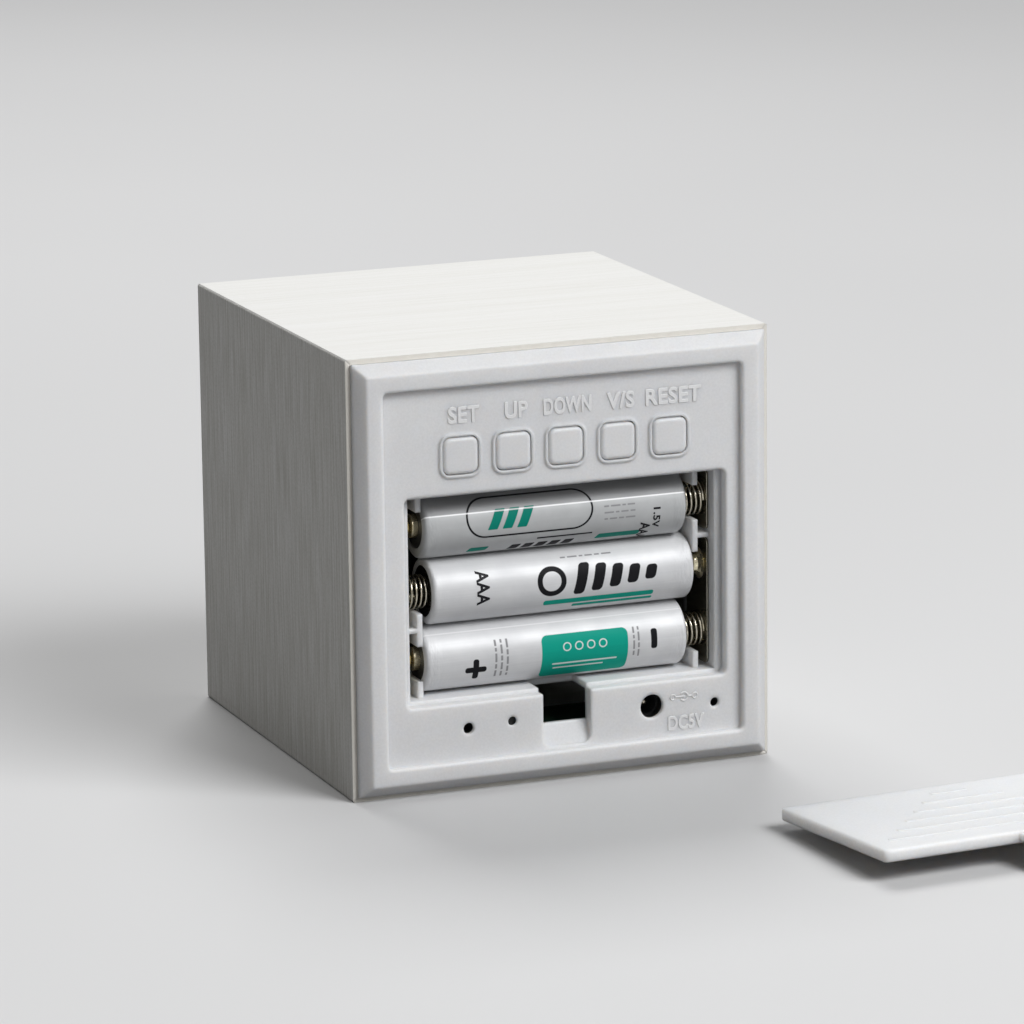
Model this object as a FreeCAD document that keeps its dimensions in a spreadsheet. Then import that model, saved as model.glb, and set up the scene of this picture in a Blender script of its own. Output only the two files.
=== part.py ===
import FreeCAD, Part
import math
import os
import re
import Sketcher
from FreeCAD import Rotation, Vector

# Sizes in millimetres. +Z is up, the digits face -Y and the rear cover faces +Y.
# The origin is the middle of the clock's underside.
SIZES = {
    # film-wrapped case boards
    "case_width": 69.4,
    "case_height": 69.0,
    "case_depth": 70.0,
    "board": 5.0,
    "arris": 0.4,
    "veneer": 1.0,
    # moulded rear cover
    "cover_inset": 0.8,
    "cover_proud": 2.5,
    "cover_lip": 0.75,
    "rim_width": 4.35,
    "rim_round": 0.35,
    "recess_depth": 1.3,
    "recess_corner": 0.8,
    "panel": 2.5,
    "fit_gap": 0.1,
    "skirt": 1.2,
    "skirt_reach": 8.0,
    "overrun": 1.0,
    # battery bay
    "window_side": 8.1,
    "window_gap": 6.05,
    "window_shift": -0.6,
    "window_low": 14.05,
    "window_corner": 1.0,
    "window_round": 0.25,
    "seat_depth": 1.95,
    "seat_side": 1.2,
    "seat_edge": 0.57,
    "bay_gap": 0.2,
    "bay_slack": 0.26,
    "bay_wall": 1.0,
    "bay_back": 1.2,
    "bay_back_side": 9.6,
    "bar_share": 0.49,
    "bar_thick": 0.85,
    "bar_stand": 2.0,
    "bar_stem": 0.7,
    "bar_front": 3.8,
    # notch and finger scoop for the door's latch
    "latch_width": 7.4,
    "latch_shift": 0.3,
    "notch_gap": 0.3,
    "notch_drop": 5.1,
    "notch_back": 7.7,
    "scoop_drop": 3.4,
    "scoop_deep": 1.7,
    "scoop_shallow": 0.6,
    "scoop_corner": 1.5,
    # tabs on the door and their slots
    "tab_width": 5.0,
    "tab_pitch": 30.0,
    "tab_reach": 0.9,
    "tab_lip": 0.8,
    "tab_stem": 1.0,
    "tab_set": 0.5,
    "tab_depth": 3.35,
    "slot_gap": 0.25,
    # battery door, lying on the table
    "door_thick": 1.9,
    "door_gap": 0.15,
    "door_round": 0.4,
    "door_turn": 3.5,
    "door_x": -45.2,
    "door_y": 73.2,
    "rib_width": 0.7,
    "rib_height": 0.15,
    "rib_first": 4.8,
    "rib_last": 5.6,
    "rib_reach": 3.0,
    "rib_side": 4.1,
    "rib_count": 6,
    "latch_arm": 1.0,
    "latch_top": 0.4,
    "latch_start": 1.3,
    "latch_bend": 3.5,
    "latch_depth": 5.4,
    "latch_root": 0.6,
    "catch_top": 2.8,
    "catch_height": 1.7,
    "catch_reach": 0.7,
    "catch_slope": 0.6,
    # buttons and their switches
    "button_count": 5,
    "button_pitch": 8.62,
    "button_shift": -0.44,
    "button_drop": 16.0,
    "button_cap": 5.7,
    "button_gap": 0.15,
    "cap_corner": 1.2,
    "cap_proud": 0.45,
    "cap_round": 0.6,
    "collar_wall": 0.4,
    "collar_proud": 0.3,
    "flange": 0.8,
    "flange_width": 7.6,
    "flange_gap": 0.1,
    "button_travel": 0.5,
    "travel_spare": 0.05,
    "switch_width": 6.0,
    "switch_height": 3.5,
    "stem_diameter": 3.5,
    "stem_height": 1.5,
    "circuit_board": 1.6,
    "button_board_edge": 0.4,
    "post_diameter": 3.6,
    "post_gap": 0.3,
    # board screws
    "screw_diameter": 2.0,
    "screw_gap": 0.05,
    "screw_bite": 3.0,
    "screw_head": 3.6,
    "screw_head_height": 1.2,
    # AAA cells
    "cell_count": 3,
    "cell_gap": 0.1,
    "cell_cover": 2.4,
    "cell_shoulder": 0.6,
    "sleeve": 0.12,
    "sleeve_mouth_share": 0.692,
    "base_mouth_share": 0.769,
    "nub_share": 0.365,
    "nub_height": 0.9,
    "washer": 0.4,
    "washer_share": 0.935,
    # contacts
    "leaf_space": 2.2,
    "contact_gap": 0.07,
    "contact_plate": 0.3,
    "plate_front": 4.15,
    "plate_back": 0.85,
    "plate_margin": 0.3,
    "leaf_width_share": 0.423,
    "leaf_span_share": 0.673,
    "spring_wire": 0.35,
    "spring_length": 3.98,
    "spring_wide_share": 0.5,
    "spring_narrow_share": 0.433,
    "spring_turns": 4,
    # power inlet, microphone, dimple and temperature sensor along the foot of the panel
    "inlet_diameter": 3.85,
    "inlet_share": 0.209,
    "inlet_level": 10.2,
    "jack_width": 7.0,
    "jack_height": 6.2,
    "jack_length": 10.0,
    "jack_bore": 3.4,
    "jack_draft": 0.2,
    "jack_mouth": 0.4,
    "jack_floor": 1.0,
    "pin_diameter": 1.3,
    "pin_depth": 3.0,
    "microphone_hole": 1.8,
    "microphone_share": 0.2305,
    "microphone_level": 10.0,
    "microphone_diameter": 4.0,
    "microphone_length": 1.5,
    "dimple_diameter": 1.45,
    "dimple_share": 0.1268,
    "dimple_level": 10.4,
    "dimple_depth": 0.9,
    "sensor_hole": 1.5,
    "sensor_share": 0.3624,
    "sensor_level": 9.75,
    "sensor_diameter": 2.4,
    "sensor_length": 3.0,
    "sensor_leg": 0.5,
    "power_board": 0.8,
    "power_board_side": 1.4,
    "power_board_depth": 15.0,
    # digits behind the front board
    "digits_side": 5.7,
    "digits_height": 22.0,
    "digits_gap": 0.2,
    "diffuser": 0.4,
    "main_board_side": 2.7,
    "main_board_edge": 6.5,
    "screw_margin": 3.0,
    "chip_width": 10.0,
    "chip_height": 1.6,
    "capacitor_diameter": 5.0,
    "capacitor_length": 8.0,
    "capacitor_round": 0.5,
    "crystal_width": 10.5,
    "crystal_height": 4.0,
    "crystal_depth": 3.5,
    "part_spread": 14.5,
    # speaker
    "speaker_diameter": 28.0,
    "speaker_depth": 5.5,
    "speaker_rim": 1.4,
    "speaker_sheet": 0.6,
    "speaker_waist": 15.0,
    "speaker_cap": 9.0,
    "magnet_diameter": 14.0,
    "magnet_height": 2.2,
    # flat cable between the two upright circuit boards
    "ribbon": 0.6,
    "ribbon_width": 10.0,
    "ribbon_rise": 3.0,
    "ribbon_bend": 70.0,
}

# Sizes that follow the case
BUTTON_LEVEL = "(case_height - button_drop)"
WINDOW_WIDTH = "(case_width - 2 * window_side)"
WINDOW_HEIGHT = f"({BUTTON_LEVEL} - window_gap - window_low)"
CELL_PITCH = f"(({WINDOW_HEIGHT} - 2 * seat_edge - bay_slack) / cell_count)"
CELL_WIDE = f"({CELL_PITCH} - cell_gap)"
NUB_WIDE = f"(nub_share * {CELL_WIDE})"
WASHER_WIDE = f"(washer_share * ({CELL_WIDE} - 2 * cell_shoulder))"
MAIN_WIDTH = "(case_width - 2 * (board + main_board_side))"
MAIN_HEIGHT = "(case_height - 2 * (board + main_board_edge))"
DIGITS_WIDTH = "(case_width - 2 * (board + digits_side))"
INLET_X, SENSOR_X = "(-inlet_share * case_width)", "(-sensor_share * case_width)"
MICROPHONE_X, DIMPLE_X = "(microphone_share * case_width)", "(dimple_share * case_width)"
# Levels along Y
PANEL_FACE = "(case_depth / 2 + cover_proud - recess_depth)"
PANEL_BACK = f"({PANEL_FACE} - panel)"
SEAT = f"({PANEL_FACE} - seat_depth)"
BAR_FRONT = f"({PANEL_FACE} - bar_front)"
CELL_AXIS = f"({PANEL_FACE} - cell_cover - {CELL_WIDE} / 2)"
BAY_BACK = f"({CELL_AXIS} - {CELL_WIDE} / 2 - bay_gap)"
FLANGE_FACE = f"({PANEL_BACK} - flange_gap)"
FLANGE_BACK = f"({FLANGE_FACE} - flange)"
STEM_TOP = f"({FLANGE_BACK} - button_travel - travel_spare)"
SWITCH_TOP = f"({STEM_TOP} - stem_height)"
BUTTON_BOARD_FACE = f"({SWITCH_TOP} - switch_height)"
BUTTON_BOARD_BACK = f"({BUTTON_BOARD_FACE} - circuit_board)"
FRONT_BACK = "(board - case_depth / 2)"
MAIN_BACK = f"({FRONT_BACK} + circuit_board)"
# Levels along X and Z
BAY_LEFT = f"(window_shift - {WINDOW_WIDTH} / 2 + seat_side)"
BAY_RIGHT = f"(window_shift + {WINDOW_WIDTH} / 2 - seat_side)"
BAY_LOW = "(window_low + seat_edge)"
BAY_TOP = f"(window_low + {WINDOW_HEIGHT} - seat_edge)"
BAY_MIDDLE = f"(window_low + {WINDOW_HEIGHT} / 2)"
NOTCH_MIDDLE = "(window_shift + latch_shift)"
NOTCH_HALF = "(latch_width / 2 + notch_gap)"
SILL = "(window_low - notch_drop)"
RECESS_EDGE = "(cover_inset + rim_width)"
BOX_EDGE = "(board + fit_gap)"
POWER_BOARD_LOW = f"({BOX_EDGE} + skirt)"
CELL_LENGTH = (f"({BAY_RIGHT} - {BAY_LEFT} - leaf_space - nub_height - spring_length"
               " - contact_plate - contact_gap)")
LEAF_RISE = "(leaf_space - contact_plate - contact_gap)"
POST_LEVEL = f"({BUTTON_LEVEL} + (flange_width + post_diameter) / 2 + post_gap)"
RIBBON_LEVEL = f"({BUTTON_LEVEL} + ribbon_rise)"

WORD = re.compile(r"[a-z][a-z0-9]*(?:_[a-z0-9]+)*")
PLANES = {"x": ("YZ_Plane", 1), "y": ("XZ_Plane", -1), "z": ("XY_Plane", 1)}
AXES = {"x": Rotation(Vector(0, 1, 0), 90), "y": Rotation(Vector(1, 0, 0), -90), "z": Rotation()}

doc = FreeCAD.newDocument("talking_clock")
sheet = doc.addObject("Spreadsheet::Sheet", "sizes")
nodes = {}


def fill_sheet():
    for row, (alias, value) in enumerate(SIZES.items(), 1):
        sheet.set(f"A{row}", alias)
        sheet.set(f"B{row}", str(value))
        sheet.setAlias(f"B{row}", alias)
    doc.recompute()


def formula(text):
    """The text with each named size read from the sheet."""
    return WORD.sub(lambda word: f"sizes.{word.group()}" if word.group() in SIZES else word.group(), text)


def number(text):
    """What a sum of named sizes comes to now."""
    value = WORD.sub(lambda word: f"({float(SIZES[word.group()])})", text)
    return FreeCAD.Units.Quantity(value).Value


def bind(item, name, text):
    item.setExpression(name, formula(text))


def node(name, item):
    """Names a finished sub-part."""
    item.Label = name
    nodes[name] = item
    return item


def move(item, x="0", y="0", z="0"):
    for axis, text in zip("xyz", (x, y, z)):
        bind(item, f"Placement.Base.{axis}", text)


def middle(centre, size):
    """Low and high sides of a size about its centre."""
    return f"{centre} - ({size}) / 2", f"{centre} + ({size}) / 2"


def block(name, x, y, z):
    """A box between a low and a high side along each axis."""
    item = doc.addObject("Part::Box", name)
    for size, (low, high) in zip(("Length", "Width", "Height"), (x, y, z)):
        bind(item, size, f"({high}) - ({low})")
    move(item, x[0], y[0], z[0])
    return item


def rod(name, diameter, axis, x, y, z):
    """A round bar; the place along its own axis is a low and a high end."""
    places = dict(zip("xyz", (x, y, z)))
    low, high = places[axis]
    places[axis] = low
    item = doc.addObject("Part::Cylinder", name)
    bind(item, "Radius", f"({diameter}) / 2")
    bind(item, "Height", f"({high}) - ({low})")
    item.Placement = FreeCAD.Placement(Vector(), AXES[axis])
    move(item, *places.values())
    return item


def join(name, *items):
    item = doc.addObject("Part::MultiFuse", name)
    item.Shapes = list(items)
    item.Refine = True
    return item


def shared(name, *items):
    item = doc.addObject("Part::MultiCommon", name)
    item.Shapes = list(items)
    return item


def cut(name, base, *tools):
    for tool in tools:
        item = doc.addObject("Part::Cut", name)
        item.Base = base
        item.Tool = tool
        base = item
    return item


def sketch(body, name, axis, level):
    """An empty sketch across an axis of the clock, at a level along that axis."""
    role, sense = PLANES[axis]
    item = body.newObject("Sketcher::SketchObject", name)
    plane = next(feature for feature in body.Origin.OriginFeatures if feature.Role == role)
    item.AttachmentSupport = (plane, [""])
    item.MapMode = "FlatFace"
    bind(item, "AttachmentOffset.Base.z", f"{sense} * ({level})")
    return item


def fix(item, kind, *geometry, size):
    """A sketch dimension that follows the sheet."""
    index = item.addConstraint(Sketcher.Constraint(kind, *geometry, number(size)))
    item.setExpression(f"Constraints[{index}]", formula(size))


def pin(item, edge, end, u, v):
    """Holds one end of an edge at a place, or on an axis where the place is zero."""
    for kind, axis, text in (("DistanceX", -2, u), ("DistanceY", -1, v)):
        if text == "0":
            item.addConstraint(Sketcher.Constraint("PointOnObject", edge, end, axis))
        else:
            fix(item, kind, -1, 1, edge, end, size=text)


def circle(item, u, v, diameter):
    centre = Vector(number(u), number(v), 0)
    ring = item.addGeometry(Part.Circle(centre, Vector(0, 0, 1), number(diameter) / 2), False)
    pin(item, ring, 3, u, v)
    fix(item, "Radius", ring, size=f"({diameter}) / 2")


def bend_edge(start, end, radius):
    """An arc of less than half a turn; a negative radius turns it clockwise."""
    chord = end - start
    side = Vector(-chord.y, chord.x, 0).normalize()
    reach = math.sqrt(radius ** 2 - (chord.Length / 2) ** 2)
    centre = (start + end) / 2 + side * math.copysign(reach, radius)
    first, last = (start, end) if radius > 0 else (end, start)
    angles = [math.atan2(spot.y - centre.y, spot.x - centre.x) for spot in (first, last)]
    return Part.ArcOfCircle(Part.Circle(centre, Vector(0, 0, 1), abs(radius)), *angles)


def outline(item, path):
    """A closed outline through named places; a third value bends the edge that ends there."""
    spots = [Vector(number(place[0]), number(place[1]), 0) for place in path]
    ends = []
    for index, place in enumerate(path):
        start, end = spots[index - 1], spots[index]
        if len(place) == 2:
            edge = item.addGeometry(Part.LineSegment(start, end), False)
            ends.append((edge, 1, 2))
            continue
        radius = number(place[2])
        edge = item.addGeometry(bend_edge(start, end, radius), False)
        ends.append((edge, 1, 2) if radius > 0 else (edge, 2, 1))
    for index, (edge, start, end) in enumerate(ends):
        before = ends[index - 1]
        item.addConstraint(Sketcher.Constraint("Coincident", before[0], before[2], edge, start))
        pin(item, edge, end, path[index][0], path[index][1])
        if len(path[index]) == 3:
            fix(item, "Radius", edge, size=path[index][2].lstrip("-"))


def rectangle(item, u, v):
    outline(item, [(u[0], v[0]), (u[1], v[0]), (u[1], v[1]), (u[0], v[1])])


def rounded(item, u, v, radius):
    """A rectangle with four rounded corners."""
    left, right, low, high = number(u[0]), number(u[1]), number(v[0]), number(v[1])
    bend = number(radius)
    sides = (((left + bend, low), (right - bend, low)), ((right, low + bend), (right, high - bend)),
             ((right - bend, high), (left + bend, high)), ((left, high - bend), (left, low + bend)))
    centres = ((right - bend, low + bend), (right - bend, high - bend),
               (left + bend, high - bend), (left + bend, low + bend))
    lines = [item.addGeometry(Part.LineSegment(Vector(*start, 0), Vector(*end, 0)), False)
             for start, end in sides]
    arcs = []
    for quarter, centre in enumerate(centres, -1):
        ring = Part.Circle(Vector(*centre, 0), Vector(0, 0, 1), bend)
        angles = math.radians(90 * quarter), math.radians(90 * quarter + 90)
        arcs.append(item.addGeometry(Part.ArcOfCircle(ring, *angles), False))
    for index, (line, arc) in enumerate(zip(lines, arcs)):
        item.addConstraint(Sketcher.Constraint("Tangent", line, 2, arc, 1))
        item.addConstraint(Sketcher.Constraint("Tangent", arc, 2, lines[(index + 1) % 4], 1))
        item.addConstraint(Sketcher.Constraint(("Horizontal", "Vertical")[index % 2], line))
    for arc in arcs[1:]:
        item.addConstraint(Sketcher.Constraint("Equal", arcs[0], arc))
    fix(item, "Radius", arcs[0], size=radius)
    for line, kind, text in ((3, "DistanceX", u[0]), (1, "DistanceX", u[1]),
                             (0, "DistanceY", v[0]), (2, "DistanceY", v[1])):
        fix(item, kind, -1, 1, lines[line], 1, size=text)


def pad(body, profile, length):
    """Grows up, towards +X or, from a sketch across Y, towards -Y."""
    item = body.newObject("PartDesign::Pad", f"{profile.Name}_pad")
    item.Profile = profile
    bind(item, "Length", length)
    doc.recompute()
    return item


def pocket(body, profile, length):
    """Cuts the other way from a pad, and has to take something away."""
    before = body.Shape.Volume
    item = body.newObject("PartDesign::Pocket", f"{profile.Name}_pocket")
    item.Profile = profile
    bind(item, "Length", length)
    doc.recompute()
    if body.Shape.Volume >= before:
        raise RuntimeError(f"{item.Name} cuts nothing")
    return item


def turned(body, profile, axis):
    """A solid of revolution about one axis of its sketch."""
    item = body.newObject("PartDesign::Revolution", f"{profile.Name}_turn")
    item.Profile = profile
    item.ReferenceAxis = (profile, [axis])
    doc.recompute()
    return item


def row(body, feature, profile, axis, count, pitch):
    """Repeats a feature in a straight row."""
    item = body.newObject("PartDesign::LinearPattern", f"{feature.Name}_row")
    item.Originals = [feature]
    item.Direction = (profile, [axis])
    bind(item, "Length", f"({count} - 1) * {pitch}")
    bind(item, "Occurrences", count)
    body.Tip = item
    doc.recompute()
    return item


def level_edges(shape, axis, level, reach):
    """Names of the edges that lie at one level and no further out along X than the reach."""
    slack = number("overrun") / 1000
    names = []
    for index, edge in enumerate(shape.Edges, 1):
        box = edge.BoundBox
        low, high = getattr(box, f"{axis}Min"), getattr(box, f"{axis}Max")
        flat = abs(low - level) < slack and abs(high - level) < slack
        if flat and max(-box.XMin, box.XMax) < reach + slack:
            names.append(f"Edge{index}")
    return names


def dress(body, kind, feature, edges, size_name, size):
    """A fillet or chamfer on named edges."""
    item = body.newObject(f"PartDesign::{kind}", f"{feature.Name}_{kind.lower()}")
    item.Base = (feature, edges)
    bind(item, size_name, size)
    doc.recompute()
    return item


def case_boards():
    """Five boards mitred at every corner, with one rounding over the outside."""
    body = doc.addObject("PartDesign::Body", "case_block")
    face = sketch(body, "case_face", "y", "case_depth / 2")
    rectangle(face, middle("0", "case_width"), ("0", "case_height"))
    solid = pad(body, face, "case_depth")
    rear = number("case_depth / 2")
    raw = set(level_edges(solid.Shape, "Y", rear, number("case_width")))
    wrapped = [f"Edge{index}" for index in range(1, len(solid.Shape.Edges) + 1)
               if f"Edge{index}" not in raw]
    dress(body, "Fillet", solid, wrapped, "Radius", "arris")
    half_width, half_depth = "case_width / 2", "case_depth / 2"
    across = (f"-{half_width}", half_width), (f"board - {half_width}", f"{half_width} - board")
    rearward = (f"-{half_depth}", half_depth), (f"board - {half_depth}", half_depth)
    frontward = (f"-{half_depth}", half_depth), (f"-{half_depth}", f"{half_depth} - board")
    upward = ("0", "case_height"), ("board", "case_height - board")
    boards = (
        ("top_board", (1, 0, 0), -90, across, rearward, ("0", "0", "case_height")),
        ("bottom_board", (1, 0, 0), 90, across, frontward, ("0", "0", "0")),
        ("left_board", (0, 0, 1), -90, frontward, upward, (f"-{half_width}", "0", "0")),
        ("right_board", (0, 0, 1), 90, rearward, upward, (half_width, "0", "0")),
        ("front_board", (0, 0, 1), 0, across, upward, ("0", f"-{half_depth}", "0")),
    )
    made = {}
    for name, axis, angle, (outer_x, inner_x), (outer_z, inner_z), base in boards:
        wedge = doc.addObject("Part::Wedge", f"{name}_wedge")
        wedge.Placement = FreeCAD.Placement(Vector(), Rotation(Vector(*axis), angle))
        faces = (("X{}", outer_x), ("Z{}", outer_z), ("X2{}", inner_x), ("Z2{}", inner_z))
        for key, (low, high) in faces + (("Y{}", ("0", "board")),):
            bind(wedge, key.format("min"), low)
            bind(wedge, key.format("max"), high)
        move(wedge, *base)
        made[name] = shared(f"{name}_solid", wedge, body)
    return made


def screw_places():
    """The four corners of the main circuit board."""
    reach_x = f"({MAIN_WIDTH} / 2 - screw_margin)"
    reach_z = f"({MAIN_HEIGHT} / 2 - screw_margin)"
    return [(f"{sign_x}{reach_x}", f"case_height / 2 {sign_z} {reach_z}")
            for sign_x in ("-", "") for sign_z in "-+"]


def front_and_display():
    made = case_boards()
    for name in ("top_board", "bottom_board", "left_board", "right_board"):
        node(name, made[name])
    digits_x = middle("0", DIGITS_WIDTH)
    digits_z = middle("case_height / 2", "digits_height")
    veneer_back = "(veneer - case_depth / 2)"
    hollow = block("digit_pocket", digits_x, (veneer_back, f"{FRONT_BACK} + overrun"), digits_z)
    hole = "(screw_diameter + 2 * screw_gap)"
    pilots = [rod("pilot", hole, "y", x, (f"{FRONT_BACK} - screw_bite - screw_gap",
                                          f"{FRONT_BACK} + overrun"), z) for x, z in screw_places()]
    node("front_board", cut("front_board_cut", made["front_board"], hollow, *pilots))

    inner_x = middle("0", f"({DIGITS_WIDTH} - 2 * digits_gap)")
    inner_z = middle("case_height / 2", "(digits_height - 2 * digits_gap)")
    diffuser_back = f"({veneer_back} + diffuser)"
    node("display_diffuser", block("diffuser_sheet", inner_x, (veneer_back, diffuser_back), inner_z))
    node("digit_display", block("digit_block", inner_x, (diffuser_back, FRONT_BACK), inner_z))

    board = block("main_sheet", middle("0", MAIN_WIDTH), (FRONT_BACK, MAIN_BACK),
                  middle("case_height / 2", MAIN_HEIGHT))
    holes = [rod("main_hole", hole, "y", x, (f"{FRONT_BACK} - overrun", f"{MAIN_BACK} + overrun"), z)
             for x, z in screw_places()]
    node("main_circuit_board", cut("main_board_cut", board, *holes))
    screws = [screw(x, z, MAIN_BACK, 1) for x, z in screw_places()]
    node("main_board_screws", group("main_screws", screws))

    chip_back = f"{MAIN_BACK} + chip_height"
    node("controller_chip", block("chip", middle("0", "chip_width"), (MAIN_BACK, chip_back),
                                  middle("case_height / 2", "chip_width")))
    node("crystal", block("crystal_can", middle("-part_spread", "crystal_width"),
                          (MAIN_BACK, f"{MAIN_BACK} + crystal_depth"),
                          middle("case_height / 2", "crystal_height")))
    body = doc.addObject("PartDesign::Body", "capacitor_can")
    ring = sketch(body, "capacitor_ring", "y", f"{MAIN_BACK} + capacitor_length")
    circle(ring, "part_spread", "case_height / 2", "capacitor_diameter")
    can = pad(body, ring, "capacitor_length")
    far = number(f"{MAIN_BACK} + capacitor_length")
    top = level_edges(can.Shape, "Y", far, number("case_width"))
    dress(body, "Fillet", can, top, "Radius", "capacitor_round")
    node("capacitor", body)


def screw(x, z, seat, sense):
    """A pan-head screw along Y: its head stands on the seat and its shank runs the other way."""
    sign = "+" if sense > 0 else "-"
    back = "-" if sense > 0 else "+"
    head = sorted((f"{seat} {sign} screw_head_height", seat), key=number)
    shank = sorted((seat, f"{seat} {back} (circuit_board + screw_bite)"), key=number)
    return join("board_screw", rod("screw_top", "screw_head", "y", x, head, z),
                rod("screw_shank", "screw_diameter", "y", x, shank, z))


def group(name, items):
    item = doc.addObject("Part::Compound", name)
    item.Links = items
    return item


def cover_plate():
    """The moulding's visible plate: chamfered rim, recessed panel, window, holes and collars."""
    body = doc.addObject("PartDesign::Body", "cover_plate")
    reach = "(case_width / 2 - {0})"
    inset = {name: ((f"-{reach.format(edge)}", reach.format(edge)), (edge, f"case_height - {edge}"))
             for name, edge in (("rim", "cover_inset"), ("recess", RECESS_EDGE), ("box", BOX_EDGE),
                                ("hollow", f"({BOX_EDGE} + skirt)"))}
    rim = sketch(body, "rim", "y", "case_depth / 2 + cover_proud")
    rectangle(rim, *inset["rim"])
    flange = pad(body, rim, "cover_proud")
    outer = level_edges(flange.Shape, "Y", number("case_depth / 2 + cover_proud"),
                        number("case_width"))
    dress(body, "Chamfer", flange, outer, "Size", "cover_proud - cover_lip")

    box = sketch(body, "insert", "y", "case_depth / 2")
    rectangle(box, *inset["box"])
    pad(body, box, "skirt_reach")
    hollow = sketch(body, "hollow", "y", "case_depth / 2 - skirt_reach")
    rectangle(hollow, *inset["hollow"])
    pocket(body, hollow, f"skirt_reach - case_depth / 2 + {PANEL_BACK}")

    recess = sketch(body, "recess", "y", PANEL_FACE)
    rounded(recess, *inset["recess"], "recess_corner")
    sunk = pocket(body, recess, "recess_depth")
    lip = level_edges(sunk.Shape, "Y", number("case_depth / 2 + cover_proud"),
                      number(reach.format(RECESS_EDGE)))
    dress(body, "Fillet", sunk, lip, "Radius", "rim_round")

    window = sketch(body, "window", "y", SEAT)
    rounded(window, middle("window_shift", WINDOW_WIDTH),
            ("window_low", f"window_low + {WINDOW_HEIGHT}"), "window_corner")
    opened = pocket(body, window, "seat_depth")
    mouth = level_edges(opened.Shape, "Y", number(PANEL_FACE),
                        number(f"{WINDOW_WIDTH} / 2") + abs(number("window_shift")))
    dress(body, "Fillet", opened, mouth, "Radius", "window_round")
    bay = sketch(body, "bay_mouth", "y", PANEL_BACK)
    rectangle(bay, (BAY_LEFT, BAY_RIGHT), (BAY_LOW, BAY_TOP))
    pocket(body, bay, "panel")

    first = "(button_shift - (button_count - 1) / 2 * button_pitch)"
    hole_size = "(button_cap + 2 * button_gap)"
    collar_size = f"({hole_size} + 2 * collar_wall)"
    collar = sketch(body, "collar", "y", f"{PANEL_FACE} + collar_proud")
    rounded(collar, middle(first, collar_size), middle(BUTTON_LEVEL, collar_size),
            "cap_corner + button_gap + collar_wall")
    row(body, pad(body, collar, "collar_proud"), collar, "H_Axis", "button_count", "button_pitch")
    hole = sketch(body, "button_hole", "y", PANEL_BACK)
    rounded(hole, middle(first, hole_size), middle(BUTTON_LEVEL, hole_size),
            "cap_corner + button_gap")
    row(body, pocket(body, hole, "panel + collar_proud"), hole, "H_Axis", "button_count",
        "button_pitch")

    holes = sketch(body, "holes", "y", PANEL_BACK)
    circle(holes, INLET_X, "inlet_level", "inlet_diameter")
    circle(holes, MICROPHONE_X, "microphone_level", "microphone_hole")
    circle(holes, SENSOR_X, "sensor_level", "sensor_hole")
    pocket(body, holes, "panel")
    dimple = sketch(body, "dimple", "y", f"{PANEL_FACE} - dimple_depth")
    circle(dimple, DIMPLE_X, "dimple_level", "dimple_diameter")
    pocket(body, dimple, "dimple_depth")
    return body


def bay_walls():
    """Floor, roof, sides and part back of the bay, and the bars that hold the contacts."""
    across = f"{BAY_LEFT} - bay_wall", f"{BAY_RIGHT} + bay_wall"
    deep = f"{BAY_BACK} - bay_back", PANEL_BACK
    tall = BAY_LOW, BAY_TOP
    walls = [
        block("bay_floor", across, deep, (f"{BAY_LOW} - bay_wall", BAY_LOW)),
        block("bay_roof", across, deep, (BAY_TOP, f"{BAY_TOP} + bay_wall")),
        block("bay_side_left", (across[0], BAY_LEFT), deep, tall),
        block("bay_side_right", (BAY_RIGHT, across[1]), deep, tall),
        block("bay_rear", middle("window_shift", f"({WINDOW_WIDTH} - 2 * bay_back_side)"),
              (deep[0], BAY_BACK), tall),
    ]
    for side, sign, tee in ((BAY_LEFT, "+", "+"), (BAY_RIGHT, "-", "-")):
        stand = sorted((f"{side} {sign} bar_stand", f"{side} {sign} (bar_stand + bar_thick)"),
                       key=number)
        stem = sorted((side, f"{side} {sign} (bar_stand + bar_thick)"), key=number)
        middle_z = f"{BAY_MIDDLE} {tee} {CELL_PITCH} / 2"
        height = f"(bar_share * {CELL_WIDE})"
        run = deep[0], BAR_FRONT
        walls += [
            block("bar", stand, run, middle(middle_z, height)),
            block("bar_stem", stem, run, middle(middle_z, "bar_stem")),
            block("bar_low", stand, run, (BAY_LOW, f"{BAY_LOW} + {height} / 2")),
            block("bar_high", stand, run, (f"{BAY_TOP} - {height} / 2", BAY_TOP)),
        ]
    return walls


def latch_cuts():
    """The notch through panel and bay floor, and the finger scoop that runs down from its sill."""
    x = middle(NOTCH_MIDDLE, f"2 * {NOTCH_HALF}")
    notch = block("notch", x, (f"{PANEL_FACE} - notch_back", f"{PANEL_FACE} + overrun"),
                  (SILL, f"{BAY_LOW} + scoop_shallow"))
    ramp_body = doc.addObject("PartDesign::Body", "scoop_ramp")
    ramp = sketch(ramp_body, "ramp", "x", x[0])
    foot = f"{SILL} - scoop_drop"
    outline(ramp, [(f"{PANEL_FACE} + overrun", foot), (f"{PANEL_FACE} + overrun", SILL),
                   (f"{PANEL_FACE} - scoop_deep", SILL), (f"{PANEL_FACE} - scoop_shallow", foot)])
    pad(ramp_body, ramp, f"2 * {NOTCH_HALF}")
    face_body = doc.addObject("PartDesign::Body", "scoop_face")
    face = sketch(face_body, "scoop_outline", "y", f"{PANEL_FACE} + overrun")
    rounded(face, x, (foot, f"{SILL} + 2 * scoop_corner"), "scoop_corner")
    pad(face_body, face, "overrun + scoop_deep")
    return notch, shared("scoop", ramp_body, face_body)


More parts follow.
